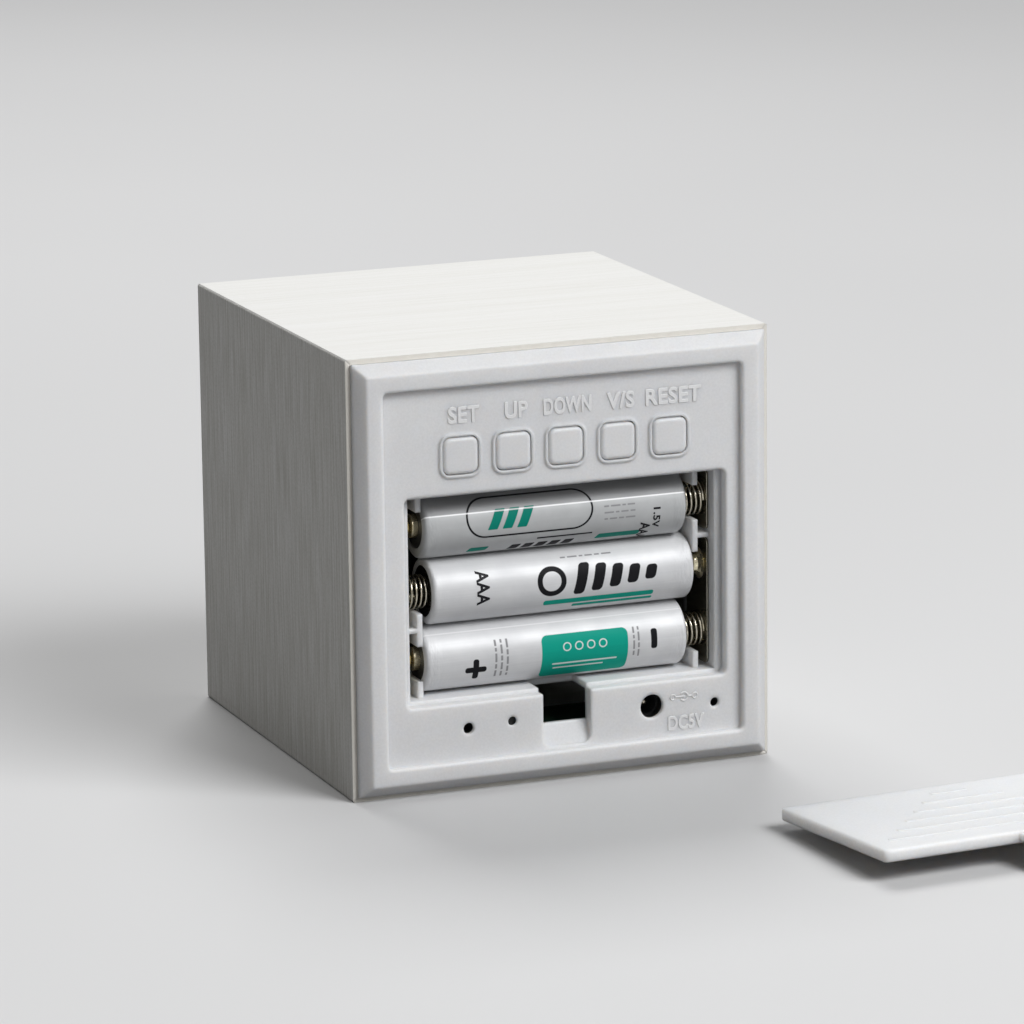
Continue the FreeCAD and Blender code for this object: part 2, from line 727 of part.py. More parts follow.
def rear_cover():
    """One moulding: plate, bay, contact bars, circuit-board posts, notch, scoop and tab slots."""
    posts, pilots = [], []
    for x, z in post_places():
        posts.append(rod("post", "post_diameter", "y", x, (BUTTON_BOARD_FACE, PANEL_BACK), z))
        pilots.append(rod("post_hole", "(screw_diameter + 2 * screw_gap)", "y", x,
                          (f"{BUTTON_BOARD_FACE} - overrun",
                           f"{BUTTON_BOARD_FACE} + screw_bite + screw_gap"), z))
    slots = [block("tab_slot", middle(x, "(tab_width + 2 * slot_gap)"),
                   (f"{PANEL_FACE} - tab_depth - slot_gap", PANEL_BACK),
                   (f"{BAY_TOP} - slot_gap", f"{BAY_TOP} + bay_wall + slot_gap"))
             for x in ("(window_shift - tab_pitch / 2)", "(window_shift + tab_pitch / 2)")]
    whole = join("cover_solid", cover_plate(), *bay_walls(), *posts)
    node("rear_cover", cut("cover_cut", whole, *latch_cuts(), *slots, *pilots))


def post_places():
    """Above the row of buttons, beside the second and the fourth."""
    return [(f"(button_shift {sign} (button_count / 2 - 1) * button_pitch)", POST_LEVEL)
            for sign in "-+"]


def buttons_and_switches():
    names = ("set", "up", "down", "sound", "reset")
    for index, name in enumerate(names):
        share = (len(names) - 1) / 2 - index
        x = f"(button_shift + {share} * button_pitch)"
        body = doc.addObject("PartDesign::Body", f"{name}_button_body")
        flange = sketch(body, f"{name}_flange", "y", FLANGE_FACE)
        rounded(flange, middle(x, "flange_width"), middle(BUTTON_LEVEL, "flange_width"),
                "cap_corner + button_gap")
        pad(body, flange, "flange")
        cap = sketch(body, f"{name}_cap", "y", f"{PANEL_FACE} + cap_proud")
        rounded(cap, middle(x, "button_cap"), middle(BUTTON_LEVEL, "button_cap"), "cap_corner")
        cap_pad = pad(body, cap, f"{PANEL_FACE} + cap_proud - {FLANGE_BACK}")
        top = level_edges(cap_pad.Shape, "Y", number(f"{PANEL_FACE} + cap_proud"),
                          number("case_width"))
        dress(body, "Fillet", cap_pad, top, "Radius", "cap_round")
        node(f"{name}_button", body)
        case = block("switch_case", middle(x, "switch_width"), (BUTTON_BOARD_FACE, SWITCH_TOP),
                     middle(BUTTON_LEVEL, "switch_width"))
        stem = rod("switch_stem", "stem_diameter", "y", x, (SWITCH_TOP, STEM_TOP), BUTTON_LEVEL)
        node(f"{name}_switch", join("switch", case, stem))

    width = "((button_count - 1) * button_pitch + flange_width + 2 * button_board_edge)"
    board = block("button_sheet", middle("button_shift", width),
                  (BUTTON_BOARD_BACK, BUTTON_BOARD_FACE),
                  (f"{BUTTON_LEVEL} - flange_width / 2 - button_board_edge",
                   f"{POST_LEVEL} + post_diameter / 2 + button_board_edge"))
    holes = [rod("button_board_hole", "(screw_diameter + 2 * screw_gap)", "y", x,
                 (f"{BUTTON_BOARD_BACK} - overrun", f"{BUTTON_BOARD_FACE} + overrun"), z)
             for x, z in post_places()]
    node("button_circuit_board", cut("button_board_cut", board, *holes))
    screws = [screw(x, z, BUTTON_BOARD_BACK, -1) for x, z in post_places()]
    node("button_board_screws", group("button_screws", screws))


def ribbon_cable():
    """A flat cable that sags from the main circuit board to the button circuit board."""
    body = doc.addObject("PartDesign::Body", "ribbon_strip")
    strip = sketch(body, "ribbon_side", "x", "-ribbon_width / 2")
    low = f"{RIBBON_LEVEL} - ribbon"
    outline(strip, [(MAIN_BACK, RIBBON_LEVEL, "-ribbon_bend"), (MAIN_BACK, low),
                    (BUTTON_BOARD_BACK, low, "ribbon_bend"), (BUTTON_BOARD_BACK, RIBBON_LEVEL)])
    pad(body, strip, "ribbon_width")
    node("ribbon_cable", body)


def revolved(name, axis, path):
    """A body turned from an outline in the XY plane about its X or its Y axis."""
    body = doc.addObject("PartDesign::Body", f"{name}_body")
    profile = sketch(body, f"{name}_profile", "z", "0")
    outline(profile, path)
    turned(body, profile, {"x": "H_Axis", "y": "V_Axis"}[axis])
    return body


def cell(name, level, reverse):
    """A can with its contact nub, the black washer round it, and the printed shrink sleeve."""
    wide, inner = f"{CELL_WIDE} / 2", f"({CELL_WIDE} / 2 - sleeve)"
    bend, tight = "cell_shoulder", "cell_shoulder - sleeve"
    crown = f"({CELL_LENGTH} - cell_shoulder)"
    waist = f"({CELL_WIDE} / 2 - cell_shoulder)"
    can_end = f"({CELL_LENGTH} - sleeve)"
    washer_end = f"({can_end} - washer)"
    nub_end = f"{CELL_LENGTH} + nub_height"
    nub, rim = f"{NUB_WIDE} / 2", f"{WASHER_WIDE} / 2"
    mouth, base = f"sleeve_mouth_share * {CELL_WIDE} / 2", f"base_mouth_share * {CELL_WIDE} / 2"
    can = [("sleeve", "0"), ("sleeve", waist), ("cell_shoulder", inner, f"-({tight})"),
           (crown, inner), (can_end, waist, f"-({tight})"), (can_end, rim), (washer_end, rim),
           (washer_end, nub), (nub_end, nub), (nub_end, "0")]
    washer = [(washer_end, nub), (washer_end, rim), (can_end, rim), (can_end, nub)]
    skin = [("0", base), ("0", waist), (bend, wide, f"-({bend})"), (crown, wide),
            (CELL_LENGTH, waist, f"-({bend})"), (CELL_LENGTH, mouth),
            (can_end, mouth), (can_end, waist), (crown, inner, tight),
            ("cell_shoulder", inner), ("sleeve", waist, tight), ("sleeve", base)]
    for part, path in (("can", can), ("washer", washer), ("sleeve", skin)):
        body = revolved(f"{name}_{part}", "x", path)
        if reverse:
            body.Placement = FreeCAD.Placement(Vector(), Rotation(Vector(0, 0, 1), 180))
            foot = f"{BAY_LEFT} + leaf_space + nub_height + {CELL_LENGTH}"
        else:
            foot = f"{BAY_RIGHT} - leaf_space - nub_height - {CELL_LENGTH}"
        move(body, foot, CELL_AXIS, level)
        node(f"{name}_cell_{part}", body)


def arc_edge(start, corner, end):
    """The arc that leaves its start towards the corner and reaches its end from it."""
    chord = (start + end) / 2
    half, rise = (end - start).Length / 2, (corner - chord).Length
    radius = (corner - start).Length * half / rise
    sag = radius - math.sqrt(radius ** 2 - half ** 2)
    return Part.Arc(start, chord + (corner - chord) * (sag / rise), end).toShape()


def biarc(start, out, end, into):
    """Two tangent arcs between two places, with the directions at both."""
    span, both = end - start, out + into
    slack = 2 * (1 - out.dot(into))
    along = span.dot(both)
    reach = (math.sqrt(along ** 2 + slack * span.dot(span)) - along) / slack
    first, last = start + out * reach, end - into * reach
    joint = (first + last) / 2
    return [arc_edge(start, first, joint), arc_edge(joint, last, end)]


def spring_shape(length):
    """A cone spring along +X from its plate: a square foot, the turns, and a flat free end."""
    wire, turns = number("spring_wire"), int(number("spring_turns"))
    wide = number(f"(spring_wide_share * {CELL_WIDE} - spring_wire) / 2")
    narrow = number(f"(spring_narrow_share * {CELL_WIDE} - spring_wire) / 2")
    low, high = 2 * wire, length - wire / 2
    steps = 4 * turns
    axis = Vector(1, 0, 0)
    places, ways = [], []
    for step in range(steps + 1):
        share = step / steps
        angle = math.pi / 2 * step
        radius = wide + (narrow - wide) * share
        outward = Vector(0, math.cos(angle), math.sin(angle))
        around = Vector(0, -math.sin(angle), math.cos(angle))
        slope = 0 if step in (0, steps) else (high - low) / (2 * math.pi * turns * radius)
        places.append(axis * (low + (high - low) * share) + outward * radius)
        ways.append((around + axis * slope).normalize())
    corner = places[0] - ways[0] * wire
    foot = corner - axis * wire
    edges = [Part.LineSegment(foot - axis * wire, foot).toShape(), arc_edge(foot, corner, places[0])]
    for step in range(steps):
        edges += biarc(places[step], ways[step], places[step + 1], ways[step + 1])
    tail = places[-1] + ways[-1] * wire
    edges.append(Part.LineSegment(places[-1], tail).toShape())
    path = Part.Wire(edges)
    start = foot - axis * wire
    disc = Part.Wire(Part.Circle(start, axis, wire / 2).toShape())
    print("spring gap to itself", round(least_gap(edges, wire), 3))
    return path.makePipeShell([disc], True, False)


def least_gap(edges, wire):
    """The least gap between stretches of wire that lie more than half a turn apart."""
    spots = [edge.valueAt(edge.FirstParameter + (edge.LastParameter - edge.FirstParameter) * part / 8)
             for edge in edges for part in range(8)]
    apart = 8 * 4
    return min((far - near).Length for index, near in enumerate(spots)
               for far in spots[index + apart:]) - wire


def contacts():
    """Nickel plates against the bay's sides, bowed where a nub meets them, and the springs."""
    front = f"{PANEL_FACE} - plate_front"
    deep = f"{BAY_BACK} + plate_back", front
    levels = {"upper": f"({BAY_MIDDLE} + {CELL_PITCH})", "middle": BAY_MIDDLE,
              "lower": f"({BAY_MIDDLE} - {CELL_PITCH})"}
    span, breadth = f"(leaf_span_share * {CELL_WIDE})", f"(leaf_width_share * {CELL_WIDE})"
    bend = f"(({LEAF_RISE} * {LEAF_RISE} + {span} * {span} / 4) / (2 * {LEAF_RISE}))"
    sides = {
        "left": (BAY_LEFT, "+", f"({BAY_MIDDLE} + {CELL_PITCH} / 2)",
                 {"lower": "middle", "upper": None}),
        "right": (BAY_RIGHT, "-", f"({BAY_MIDDLE} - {CELL_PITCH} / 2)",
                  {"lower": "lower", "upper": "upper"}),
    }
    for side, (wall, sign, tee, leaves) in sides.items():
        face = f"({wall} {sign} contact_plate)"
        across = sorted((wall, face), key=number)
        stem_low = f"{tee} - bar_stem / 2 - plate_margin"
        stem_high = f"{tee} + bar_stem / 2 + plate_margin"
        heights = {"lower": (f"{BAY_LOW} + plate_margin", stem_low),
                   "upper": (stem_high, f"{BAY_TOP} - plate_margin")}
        for part, height in heights.items():
            plate = block(f"{side}_{part}_plate", across, deep, height)
            if leaves[part]:
                level = levels[leaves[part]]
                hub = f"{wall} {sign} (contact_plate + {LEAF_RISE} - {bend})"
                run = middle(CELL_AXIS, breadth)
                outer = rod("leaf_outer", f"2 * {bend}", "y", hub, run, level)
                inner = rod("leaf_inner", f"2 * ({bend} - contact_plate)", "y", hub, run, level)
                beyond = sorted((face, f"{wall} {sign} leaf_space"), key=number)
                keep = block("leaf_keep", beyond, run, middle(level, span))
                leaf = shared("leaf", cut("leaf_ring", outer, inner), keep)
                plate = join("leafed_plate", plate, leaf)
            node(f"{side}_{part}_contact", plate)

    doc.recompute()
    for name, wall, sense in (("upper", BAY_LEFT, 1), ("middle", BAY_RIGHT, -1),
                              ("lower", BAY_LEFT, 1)):
        coil = doc.addObject("Part::Feature", f"{name}_coil")
        coil.Shape = spring_shape(number("spring_length"))
        foot = Vector(number(f"{wall} {'+' if sense > 0 else '-'} contact_plate"),
                      number(CELL_AXIS), number(levels[name]))
        turn = Rotation(Vector(0, 0, 1), 0 if sense > 0 else 180)
        coil.Placement = FreeCAD.Placement(foot, turn)
        node(f"{name}_cell_spring", coil)
    return levels


def cells():
    levels = contacts()
    for name in ("upper", "middle", "lower"):
        cell(name, levels[name], name == "middle")


def door_latch(height):
    """A sprung arm that leaves the door's edge and bends down into a leg with a catch on it."""
    body = doc.addObject("PartDesign::Body", "latch_arm_body")
    low_side = "latch_shift - latch_width / 2"
    side = sketch(body, "latch_side", "x", low_side)
    start = f"({height} + latch_start)"
    outer, inner = f"({start} + latch_bend)", f"({start} + latch_bend - latch_arm)"
    root, hip = f"{height} - latch_root", "-latch_top - latch_bend"
    outline(side, [(root, "-latch_top"), (root, "-latch_top - latch_arm"),
                   (start, "-latch_top - latch_arm"), (inner, hip, "-(latch_bend - latch_arm)"),
                   (inner, "-latch_depth"), (outer, "-latch_depth"), (outer, hip),
                   (start, "-latch_top", "latch_bend")])
    pad(body, side, "latch_width")
    catch_body = doc.addObject("PartDesign::Body", "catch_body")
    wedge = sketch(catch_body, "catch_side", "x", low_side)
    inside, tip = f"{outer} - catch_slope", f"{outer} + catch_reach"
    outline(wedge, [(inside, "-catch_top"), (inside, "-catch_top - catch_height"),
                    (tip, "-catch_top - 2 * catch_slope"), (tip, "-catch_top - catch_slope")])
    pad(catch_body, wedge, "latch_width")
    return body, catch_body


def battery_door():
    """Lies with its outer face up, on the lips of its two tabs and the foot of its latch."""
    body = doc.addObject("PartDesign::Body", "door_plate")
    width, height = f"({WINDOW_WIDTH} - 2 * door_gap)", f"({WINDOW_HEIGHT} - 2 * door_gap)"
    slab = sketch(body, "door_slab", "z", "-door_thick")
    rounded(slab, middle("0", width), ("0", height), "window_corner")
    plate = pad(body, slab, "door_thick")
    rims = level_edges(plate.Shape, "Z", 0, number("case_width"))
    rims += level_edges(plate.Shape, "Z", -number("door_thick"), number("case_width"))
    dress(body, "Fillet", plate, rims, "Radius", "door_round")

    tabs = []
    for x in ("-tab_pitch / 2", "tab_pitch / 2"):
        span = middle(x, "tab_width")
        tabs.append(block("tab_stem_block", span, ("tab_set", "tab_set + tab_stem"),
                          ("-tab_depth", "-door_thick / 2")))
        tabs.append(block("tab_lip_block", span, ("-tab_reach", "tab_set + tab_stem"),
                          ("-tab_depth", "tab_lip - tab_depth")))
    ribs = []
    growth = f"(({WINDOW_WIDTH} / 2 - rib_side - rib_reach) / (rib_count - 1))"
    pitch = f"(({WINDOW_HEIGHT} - rib_first - rib_last) / (rib_count - 1))"
    for index in range(SIZES["rib_count"]):
        reach = f"(rib_reach + {index} * {growth})"
        level = f"(rib_first + {index} * {pitch})"
        ribs.append(block("rib", (f"latch_shift - {reach}", f"latch_shift + {reach}"),
                          middle(level, "rib_width"), ("-door_thick / 2", "rib_height")))
    door = join("door_solid", body, *door_latch(height), *tabs, *ribs)
    rise = f"(latch_depth - tab_depth) / ({height} + latch_start + latch_bend - latch_arm + tab_reach)"
    turn = "rotation(vector(0; 0; 1); door_turn)"
    tilt = f"rotation(vector(1; 0; 0); atan({rise}))"
    stand = f"tab_depth * cos(atan({rise})) + tab_reach * sin(atan({rise}))"
    bind(door, "Placement", f"placement(vector(door_x; door_y; {stand}); {turn} * {tilt})")
    node("battery_door", door)


def flare(name, inner, outer, y):
    """A cone about the inlet's axis that widens towards the panel."""
    item = doc.addObject("Part::Cone", name)
    bind(item, "Height", f"({y[1]}) - ({y[0]})")
    bind(item, "Radius1", inner)
    bind(item, "Radius2", outer)
    item.Placement = FreeCAD.Placement(Vector(), AXES["y"])
    move(item, INLET_X, y[0], "inlet_level")
    return item


def power_side():
    """Circuit board on the cover's skirt with the power jack, microphone and sensor on it."""
    top = f"({POWER_BOARD_LOW} + power_board)"
    node("power_circuit_board",
         block("power_sheet", middle("0", f"(case_width - 2 * ({POWER_BOARD_LOW} + power_board_side))"),
               (f"{PANEL_BACK} - power_board_depth", PANEL_BACK), (POWER_BOARD_LOW, top)))
    jack_front = f"({PANEL_BACK} - jack_length)"
    case = block("jack_case", middle(INLET_X, "jack_width"), (jack_front, PANEL_BACK),
                 (top, "inlet_level + jack_height / 2"))
    bore = flare("jack_socket", "jack_bore / 2", "jack_bore / 2 + jack_draft",
                 (f"{jack_front} + jack_floor", f"{PANEL_BACK} + overrun"))
    mouth = flare("jack_mouth_cone", "jack_bore / 2", "jack_bore / 2 + jack_mouth + overrun",
                  (f"{PANEL_BACK} - jack_mouth", f"{PANEL_BACK} + overrun"))
    node("power_jack", cut("jack", case, bore, mouth))
    tip = f"({PANEL_FACE} - pin_depth)"
    shank = rod("pin_shank", "pin_diameter", "y", INLET_X,
                (f"{jack_front} + jack_floor", f"{tip} - pin_diameter / 2"), "inlet_level")
    nose = doc.addObject("Part::Sphere", "pin_nose")
    bind(nose, "Radius", "pin_diameter / 2")
    move(nose, INLET_X, f"{tip} - pin_diameter / 2", "inlet_level")
    node("jack_pin", join("pin", shank, nose))
    node("microphone", rod("microphone_can", "microphone_diameter", "y", MICROPHONE_X,
                           (f"{PANEL_BACK} - microphone_length", PANEL_BACK), "microphone_level"))
    run = f"{PANEL_BACK} - sensor_length", PANEL_BACK
    bead = rod("bead", "sensor_diameter", "y", SENSOR_X, run, "sensor_level")
    leg_y = middle(f"({PANEL_BACK} - sensor_length / 2)", "sensor_leg")
    legs = [block("leg", middle(f"({SENSOR_X} {sign} sensor_diameter / 4)", "sensor_leg"), leg_y,
                  (top, "sensor_level")) for sign in "-+"]
    node("temperature_sensor", join("sensor", bead, *legs))


def speaker():
    """A small speaker whose magnet is glued to the back of the bay; its cone faces the digits."""
    wall = f"{BAY_BACK} - bay_back"
    rim, inside = "speaker_diameter / 2", "(speaker_diameter / 2 - speaker_rim)"
    bowl, waist = "-magnet_height - speaker_sheet", "speaker_waist / 2"
    lip = "(speaker_sheet + speaker_rim - speaker_depth)"
    basket = [("0", "-magnet_height"), (waist, "-magnet_height"), (inside, lip), (rim, lip),
              (rim, "-speaker_depth"), (inside, "-speaker_depth"),
              (f"{waist} - speaker_sheet", bowl), ("0", bowl)]
    floor = "-magnet_height - 2 * speaker_sheet"
    cone = [("0", bowl), (f"{waist} - speaker_sheet", bowl), (inside, "-speaker_depth"),
            ("speaker_cap / 2", floor), ("0", floor)]
    for name, path in (("speaker_basket", basket), ("speaker_cone", cone)):
        body = revolved(name, "y", path)
        move(body, "window_shift", wall, BAY_MIDDLE)
        node(name, body)
    node("speaker_magnet", rod("magnet", "magnet_diameter", "y", "window_shift",
                               (f"{wall} - magnet_height", wall), BAY_MIDDLE))


def check():
    """Stops on any object that failed and on any sub-part without sound solids."""
    doc.recompute()
    failed = [item.Name for item in doc.Objects if {"Invalid", "Error"} & set(item.State)]
    failed += [name for name, item in nodes.items()
               if item.Shape.isNull() or not item.Shape.isValid() or not item.Shape.Solids]
    if failed:
        raise RuntimeError(f"failed: {', '.join(failed)}")


def export():
    os.makedirs("parts", exist_ok=True)
    for name, item in nodes.items():
        item.Shape.exportStep(f"parts/{name}.step")
    print(len(nodes), "sub-parts written")


fill_sheet()
front_and_display()
rear_cover()
buttons_and_switches()
ribbon_cable()
cells()
battery_door()
power_side()
speaker()
check()
export()
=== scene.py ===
import math

import bmesh
import bpy
from mathutils import Matrix, Vector


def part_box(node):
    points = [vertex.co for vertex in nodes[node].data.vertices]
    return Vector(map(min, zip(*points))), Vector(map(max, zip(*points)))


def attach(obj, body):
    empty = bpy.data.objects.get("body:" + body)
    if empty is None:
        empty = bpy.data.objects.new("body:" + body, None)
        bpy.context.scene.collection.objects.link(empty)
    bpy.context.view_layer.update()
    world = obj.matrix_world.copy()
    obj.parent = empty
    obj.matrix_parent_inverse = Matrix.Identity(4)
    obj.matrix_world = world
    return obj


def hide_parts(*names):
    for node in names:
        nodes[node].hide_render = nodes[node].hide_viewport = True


mm = 0.001
panelFace = 36.2 * mm
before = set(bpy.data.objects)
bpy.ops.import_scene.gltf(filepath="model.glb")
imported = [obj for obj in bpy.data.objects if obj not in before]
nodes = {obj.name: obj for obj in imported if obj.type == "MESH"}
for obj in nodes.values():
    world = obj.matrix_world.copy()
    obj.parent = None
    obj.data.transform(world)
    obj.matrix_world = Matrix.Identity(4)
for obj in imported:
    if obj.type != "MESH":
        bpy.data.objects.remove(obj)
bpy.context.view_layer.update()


# Small helpers for shader graphs

def put(tree, kind, inputs=None, **settings):
    item = tree.nodes.new("ShaderNode" + kind)
    for key, value in settings.items():
        setattr(item, key, value)
    for key, value in (inputs or {}).items():
        if isinstance(value, bpy.types.NodeSocket):
            tree.links.new(value, item.inputs[key])
        else:
            item.inputs[key].default_value = value
    return item


def calc(tree, operation, *values):
    item = put(tree, "Math", dict(enumerate(values)), operation=operation)
    return item.outputs[0]


def vectorCalc(tree, operation, *values):
    item = put(tree, "VectorMath", dict(enumerate(values)), operation=operation)
    return item.outputs[0]


def ramp(tree, value, low, high, start=0.0, end=1.0):
    item = put(tree, "MapRange", {0: value, 1: low, 2: high, 3: start, 4: end})
    item.clamp = True
    return item.outputs[0]


def mixColor(tree, factor, first, second, blend="MIX"):
    item = put(tree, "Mix", {0: factor, 6: first, 7: second}, data_type="RGBA", blend_type=blend)
    return item.outputs[2]


def noise(tree, vector, scale, detail=3.0, roughness=0.5):
    item = put(tree, "TexNoise", {"Vector": vector, "Scale": scale, "Detail": detail,
                                  "Roughness": roughness})
    return item.outputs[0]


def newGroup(name, inputs, outputs):
    tree = bpy.data.node_groups.new(name, "ShaderNodeTree")
    for way, sockets in (("INPUT", inputs), ("OUTPUT", outputs)):
        for label, kind, default in sockets:
            socket = tree.interface.new_socket(label, in_out=way, socket_type="NodeSocket" + kind)
            if default is not None:
                socket.default_value = default
    return tree, tree.nodes.new("NodeGroupInput").outputs, tree.nodes.new("NodeGroupOutput").inputs


def useGroup(tree, group, inputs):
    item = tree.nodes.new("ShaderNodeGroup")
    item.node_tree = group
    for key, value in inputs.items():
        if isinstance(value, bpy.types.NodeSocket):
            tree.links.new(value, item.inputs[key])
        else:
            item.inputs[key].default_value = value
    return item.outputs


def tone(red, green, blue):
    return (red, green, blue, 1.0)


def newMaterial(name):
    material = bpy.data.materials.new(name)
    material.use_nodes = True
    tree = material.node_tree
    tree.nodes.clear()
    return material, tree


def finishMaterial(tree, inputs):
    shader = put(tree, "BsdfPrincipled", inputs)
    out = put(tree, "OutputMaterial")
    tree.links.new(shader.outputs[0], out.inputs[0])


# Shared effects

# Fine lines that run along one direction of a stretched vector.
def makeGrainGroup():
    tree, given, out = newGroup(
        "fineGrain",
        [("Vector", "Vector", None), ("Spread", "Float", 0.5)],
        [("Lines", "Float", None), ("Streaks", "Float", None), ("Height", "Float", None)])
    fine = noise(tree, given["Vector"], 1.0, 2.0, 0.6)
    broad = noise(tree, vectorCalc(tree, "MULTIPLY", given["Vector"], (0.16, 0.16, 0.5)), 1.0, 3.0, 0.6)
    lines = ramp(tree, fine, 0.36, 0.66)
    tree.links.new(lines, out["Lines"])
    tree.links.new(ramp(tree, broad, 0.3, 0.7), out["Streaks"])
    tree.links.new(calc(tree, "MULTIPLY", lines, given["Spread"]), out["Height"])
    return tree


# How far a rounded edge turns from its face: one on edges and corners, nothing on flats.
def makeEdgeGroup():
    tree, given, out = newGroup(
        "softEdge", [("Radius", "Float", 0.0003)],
        [("Edge", "Float", None), ("Normal", "Vector", None)])
    bevel = put(tree, "Bevel", {"Radius": given["Radius"]}, samples=6)
    flat = put(tree, "NewGeometry").outputs["Normal"]
    facing = put(tree, "VectorMath", {0: bevel.outputs[0], 1: flat}, operation="DOT_PRODUCT")
    turned = calc(tree, "SUBTRACT", 1.0, facing.outputs["Value"])
    tree.links.new(ramp(tree, turned, 0.004, 0.16), out["Edge"])
    tree.links.new(bevel.outputs[0], out["Normal"])
    return tree


# Slight unevenness of a moulded, pressed or plated surface.
def makeSurfaceGroup():
    tree, given, out = newGroup(
        "unevenSurface",
        [("Vector", "Vector", None), ("Scale", "Float", 400.0), ("Fine", "Float", 6000.0),
         ("Depth", "Float", 0.05), ("Normal", "Vector", None)],
        [("Broad", "Float", None), ("Speckle", "Float", None), ("Normal", "Vector", None)])
    broad = noise(tree, given["Vector"], given["Scale"], 3.0, 0.55)
    speckle = noise(tree, given["Vector"], given["Fine"], 2.0, 0.5)
    height = calc(tree, "ADD", broad, calc(tree, "MULTIPLY", speckle, 0.25))
    bump = put(tree, "Bump", {"Strength": given["Depth"], "Distance": 0.0002, "Height": height,
                              "Normal": given["Normal"]})
    tree.links.new(ramp(tree, broad, 0.3, 0.7), out["Broad"])
    tree.links.new(ramp(tree, speckle, 0.35, 0.65), out["Speckle"])
    tree.links.new(bump.outputs[0], out["Normal"])
    return tree


# Dust that settles on what faces up.
def makeDustGroup():
    tree, given, out = newGroup(
        "settledDust", [("Vector", "Vector", None), ("Amount", "Float", 0.1)],
        [("Mask", "Float", None)])
    up = put(tree, "SeparateXYZ", {0: put(tree, "NewGeometry").outputs["Normal"]}).outputs[2]
    specks = ramp(tree, noise(tree, given["Vector"], 2600.0, 2.0, 0.7), 0.62, 0.74)
    patches = ramp(tree, noise(tree, given["Vector"], 60.0, 2.0, 0.5), 0.35, 0.7)
    mask = calc(tree, "MULTIPLY", calc(tree, "MULTIPLY", specks, patches), ramp(tree, up, 0.3, 0.9))
    tree.links.new(calc(tree, "MULTIPLY", mask, given["Amount"]), out["Mask"])
    return tree


# A filled shape with rounded corners on a plane of two coordinates, given in millimetres.
def makePatchGroup():
    tree, given, out = newGroup(
        "roundedPatch",
        [("Along", "Float", 0.0), ("Around", "Float", 0.0), ("At", "Float", 0.0),
         ("Level", "Float", 0.0), ("Half length", "Float", 1.0), ("Half height", "Float", 1.0),
         ("Corner", "Float", 0.2), ("Slant", "Float", 0.0)],
        [("Mask", "Float", None)])
    v = calc(tree, "SUBTRACT", given["Around"], given["Level"])
    lean = calc(tree, "MULTIPLY", v, given["Slant"])
    u = calc(tree, "SUBTRACT", calc(tree, "SUBTRACT", given["Along"], given["At"]), lean)
    sides = []
    for place, half in ((u, given["Half length"]), (v, given["Half height"])):
        inner = calc(tree, "SUBTRACT", half, given["Corner"])
        sides.append(calc(tree, "SUBTRACT", calc(tree, "ABSOLUTE", place), inner))
    beyond = [calc(tree, "MAXIMUM", side, 0.0) for side in sides]
    squares = [calc(tree, "MULTIPLY", side, side) for side in beyond]
    outside = calc(tree, "SQRT", calc(tree, "ADD", *squares))
    inside = calc(tree, "MINIMUM", calc(tree, "MAXIMUM", *sides), 0.0)
    distance = calc(tree, "SUBTRACT", calc(tree, "ADD", outside, inside), given["Corner"])
    tree.links.new(ramp(tree, distance, 0.04, -0.04), out["Mask"])
    return tree


grainGroup = makeGrainGroup()
edgeGroup = makeEdgeGroup()
surfaceGroup = makeSurfaceGroup()
dustGroup = makeDustGroup()
patchGroup = makePatchGroup()
print("shared effects made")


# Materials

def place(tree):
    return put(tree, "TexCoord").outputs["Object"]


# White moulded plastic: soft edges with a painted highlight along them, faint flow marks, a little
# dust, and painted shade down the walls of small holes.
def plastic(name, look):
    material, tree = newMaterial(name)
    spot = place(tree)
    edge = useGroup(tree, edgeGroup, {"Radius": look["edge"]})
    surface = useGroup(tree, surfaceGroup, {
        "Vector": spot, "Scale": look["broad"], "Fine": look["fine"], "Depth": look["depth"],
        "Normal": edge["Normal"]})
    dust = useGroup(tree, dustGroup, {"Vector": spot, "Amount": look["dust"]})["Mask"]
    base = mixColor(tree, surface["Broad"], tone(*look["color"]), tone(*look["shade"]))
    pits = calc(tree, "MULTIPLY", surface["Speckle"], look["pits"])
    base = mixColor(tree, pits, base, tone(*(part * 0.6 for part in look["shade"])))
    # Painted highlight on rounded edges.
    edgeHighlight = calc(tree, "MULTIPLY", edge["Edge"], look["edgeHighlightShare"])
    base = mixColor(tree, edgeHighlight, base, tone(*look["edgeHighlightColor"]))
    base = mixColor(tree, dust, base, tone(*look["dustColor"]))
    # Painted shade down the walls of the small holes.
    for spotX, spotZ, radius, depth in look.get("holes", ()):
        x, y, z = put(tree, "SeparateXYZ", {0: spot}).outputs
        reach = vectorCalc(tree, "SUBTRACT", put(tree, "CombineXYZ", {0: x, 2: z}).outputs[0],
                           (spotX * mm, 0, spotZ * mm))
        distance = put(tree, "VectorMath", {0: reach}, operation="LENGTH").outputs["Value"]
        within = ramp(tree, distance, (radius + 0.06) * mm, (radius + 0.01) * mm)
        deep = ramp(tree, y, panelFace - depth * mm, panelFace - (depth + 0.1) * mm)
        base = mixColor(tree, calc(tree, "MULTIPLY", within, deep), base, tone(*holeShadeColor))
    grit = ramp(tree, surface["Speckle"], 0.0, 1.0, look["rough"], look["rough"] + 0.06)
    rough = calc(tree, "ADD", grit, dust)
    finishMaterial(tree, {"Base Color": base, "Roughness": rough, "Normal": surface["Normal"],
                          "Specular IOR Level": look["shine"], "IOR": 1.49,
                          "Subsurface Weight": look["glow"], "Subsurface Scale": look["spread"],
                          "Subsurface Radius": (1.0, 0.9, 0.8)})
    return material
